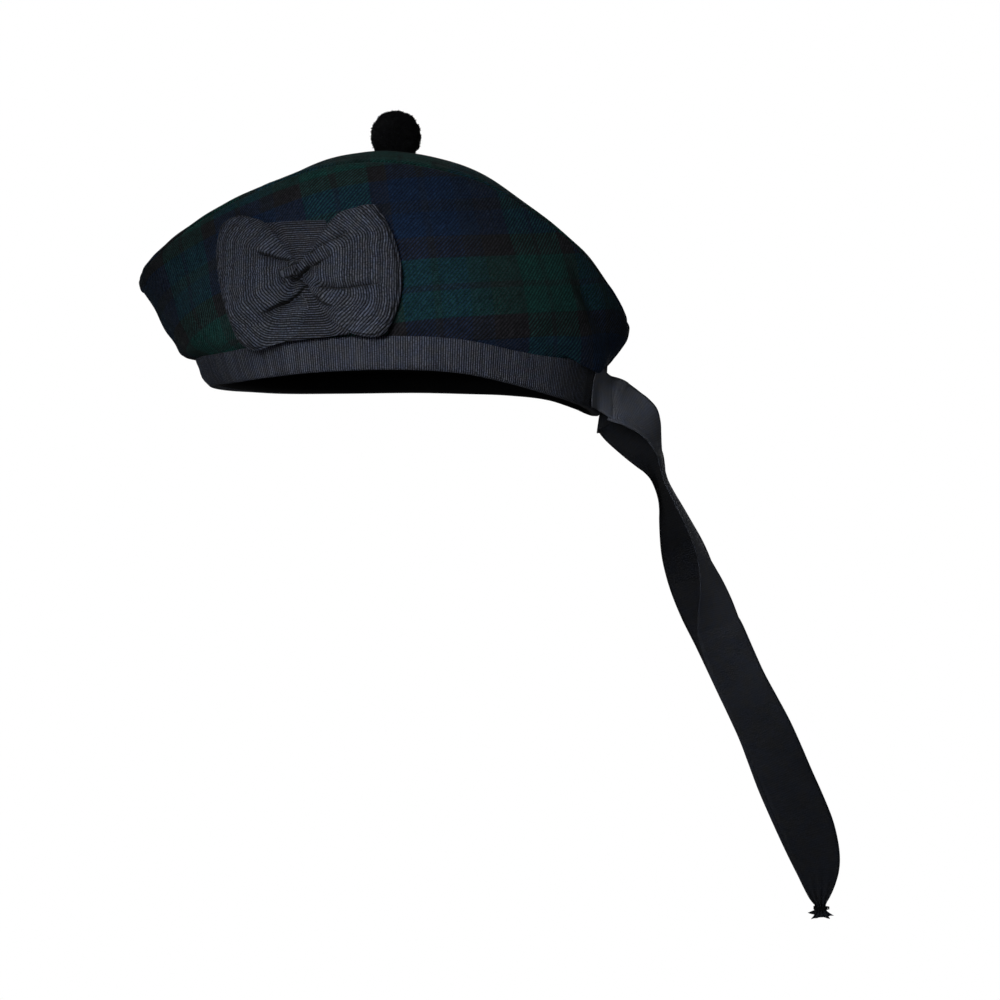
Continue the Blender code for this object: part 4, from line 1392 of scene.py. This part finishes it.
def make_tie(material):
    """The thread wound round both tails at their neck, five turns and a knot."""
    above, below = TAIL_ROWS[-1][NECK_ROW : NECK_ROW + 2]
    back = (above.back + below.back) / 2
    down = (above.down + below.down) / 2
    centre = tail_anchor() + np.array((TAIL_REACH * back, 0, -TAIL_DROP * down))
    reach = GAP + TIE_WIRE + 0.0002
    half_width = RIBBON_WIDTH * above.gather / 2 + reach
    half_depth = RIBBON_WIDTH * abs(above.side) + NECK_THICKNESS / 2 + reach
    turns = 5
    t = np.linspace(0, 2 * math.pi * turns, 40 * turns)
    x = half_width * signed_power(np.cos(t), 0.6)
    y = half_depth * signed_power(np.sin(t), 0.6)
    z = (t / t[-1] - 0.5) * (TIE_HEIGHT - 2 * TIE_WIRE)
    tube(centre + point_of(x, y, z), "tie_turns", material, "tail_tie")
    t = np.linspace(0, 3 * math.pi, 40)
    knot = point_of(half_width + 0.0005 + 0.0005 * np.sin(t), 0.0007 * np.cos(t), 0.0005 * np.sin(t * 1.3))
    tube(centre + knot, "tie_knot", material)


def tube(path, name, material, *nodes):
    """A round thread along a path, closed at both ends."""
    across, other = square_ways(unit(np.gradient(path, axis=0)), 0.9)
    angle = circle(8)[None, :, None]
    loops = path[:, None] + TIE_WIRE * (across[:, None] * np.cos(angle) + other[:, None] * np.sin(angle))
    finish_piece(make_loft(name, loops, False), material, "tie_thread", *nodes)


def put_in(name, data, place, aim):
    """The camera or a light at a place, turned to face another."""
    obj = bpy.data.objects.new(name, data)
    obj.location = place
    obj.rotation_euler = (Vector(aim) - Vector(place)).to_track_quat("-Z", "Y").to_euler()
    bpy.context.collection.objects.link(obj)
    return obj


def add_light(name, place, aim, size, power, spread=180):
    light = bpy.data.lights.new(name, "AREA")
    light.shape = "DISK"
    light.size = size
    light.energy = power
    light.spread = math.radians(spread)
    put_in(name, light, place, aim).visible_camera = False


def make_world():
    """White to the camera, and a weaker even light on the object."""
    world = bpy.data.worlds.new("studio")
    bpy.context.scene.world = world
    world.use_nodes = True
    nodes = world.node_tree.nodes
    links = world.node_tree.links
    nodes.clear()
    output = nodes.new("ShaderNodeOutputWorld")
    mix = nodes.new("ShaderNodeMixShader")
    rays = nodes.new("ShaderNodeLightPath")
    links.new(rays.outputs["Is Camera Ray"], mix.inputs[0])
    links.new(mix.outputs[0], output.inputs[0])
    for k, color, strength in ((1, (0.95, 0.98, 1.0, 1), 0.025), (2, (1, 1, 1, 1), 1.0)):
        light = nodes.new("ShaderNodeBackground")
        light.inputs["Color"].default_value = color
        light.inputs["Strength"].default_value = strength
        links.new(light.outputs[0], mix.inputs[k])


def make_floor():
    """A plain pale floor, far enough below for the underside to be seen."""
    angle = circle(96)
    points = point_of(2.2 * np.cos(angle), 2.2 * np.sin(angle), -1.2)
    obj = make_object("floor", points, [list(range(len(points)))])
    obj.data.shade_flat()
    g = Graph("pale_floor")
    seen = g.add("ShaderNodeLightPath").outputs["Is Camera Ray"]
    inputs = {
        "Base Color": (0.82, 0.82, 0.82, 1),
        "Roughness": 0.9,
        "Emission Color": (1, 1, 1, 1),
        "Emission Strength": g.remap(seen, 0.0, 1.0, FLOOR_GLOW, FLOOR_WHITE),
    }
    obj.data.materials.append(g.shade(inputs))


def make_camera():
    camera = bpy.data.cameras.new("camera")
    camera.lens = 75
    camera.sensor_width = 36
    camera.dof.use_dof = False
    bpy.context.scene.camera = put_in("camera", camera, (0.0477, -1.0625, -0.080), (0.0477, 0, -0.059))


def main():
    bpy.context.scene.view_settings.view_transform = "Standard"
    make_camera()
    make_world()
    make_floor()
    add_light("key", (-0.11, -0.42, 0.09), (0.015, -0.08, 0.015), 0.14, 0.120, 60)
    add_light("front", (-0.55, -1.3, 0.2), (0.02, -0.05, -0.02), 0.8, 1.25)
    add_light("top", (0.0, -0.1, 1.5), (0, 0, 0.05), 1.2, 1.8)
    add_light("back", (0.2, 1.5, 0.4), (0, 0, 0), 1.2, 4.0)
    add_light("right", (1.3, 0.45, -0.05), (0.10, 0, -0.03), 0.5, 1.0)
    add_light("low", (-0.9, -1.0, -0.32), (-0.08, 0, 0.0), 0.5, 1.3)

    left_wool = make_wool("tartan_left", 45.0, -75.0)
    right_wool = make_wool("tartan_right", 20.0, -75.0)
    crown_wool = make_wool("tartan_crown", 177.0, 105.0)
    grosgrain = make_ribbed("charcoal_grosgrain", (0.0395, 0.0428, 0.0525), 0.08, 1.98)
    # The bow's copy of the ribbon is a little darker than the band's: painted shade
    bow_grosgrain = make_ribbed("bow_grosgrain", (0.0355, 0.0390, 0.0480), 0.20, 1.84, fleck=0.65)
    # The strip's copy of the ribbon is darker, with deeper troughs: painted shade
    painted_shade_strip_grosgrain = make_ribbed("painted_shade_strip_grosgrain", (0.0240, 0.0256, 0.0318), 0.0, 2.25, fleck=0.60)
    # The tails' copy of the ribbon is lighter than the band's: painted light
    even = {"depth": 0.00002, "fleck": 0.08, "patch": 0.12}
    tail_grosgrain = make_ribbed("black_grosgrain", (0.0540, 0.0570, 0.0660), 0.92, 1.05, **even)
    # A near-black copy of the ribbon for the band's inner leg: painted shade
    painted_shade_grosgrain = make_ribbed("painted_shade_grosgrain", (0.0025, 0.0025, 0.003), 0.7, 1.2, sheen=0.0)
    lining_cloth = make_plain("black_lining", (0.0012, 0.0012, 0.0013), 1500.0, 0.85)
    yarn = make_plain("black_yarn", (0.0022, 0.0026, 0.0034), 2500.0, 0.9, sheen=0.02)
    thread = make_plain("black_thread", (0.007, 0.007, 0.008), 3000.0, 0.8, sheen=0.05)

    make_side("side_left", -1, left_wool)
    make_side("side_right", 1, right_wool)
    make_crown(crown_wool)
    make_lining(lining_cloth)
    make_band(grosgrain, painted_shade_grosgrain)
    make_rosette_strip(painted_shade_strip_grosgrain)
    make_rosette_bow(bow_grosgrain)
    make_tourie(yarn)
    make_tie(thread)
    for name, hand, sunk in (("tail_left", -1, 0), ("tail_right", 1, TAIL_OVERLAP)):
        tail, length = make_tail(name, hand, sunk, tail_grosgrain)


main()
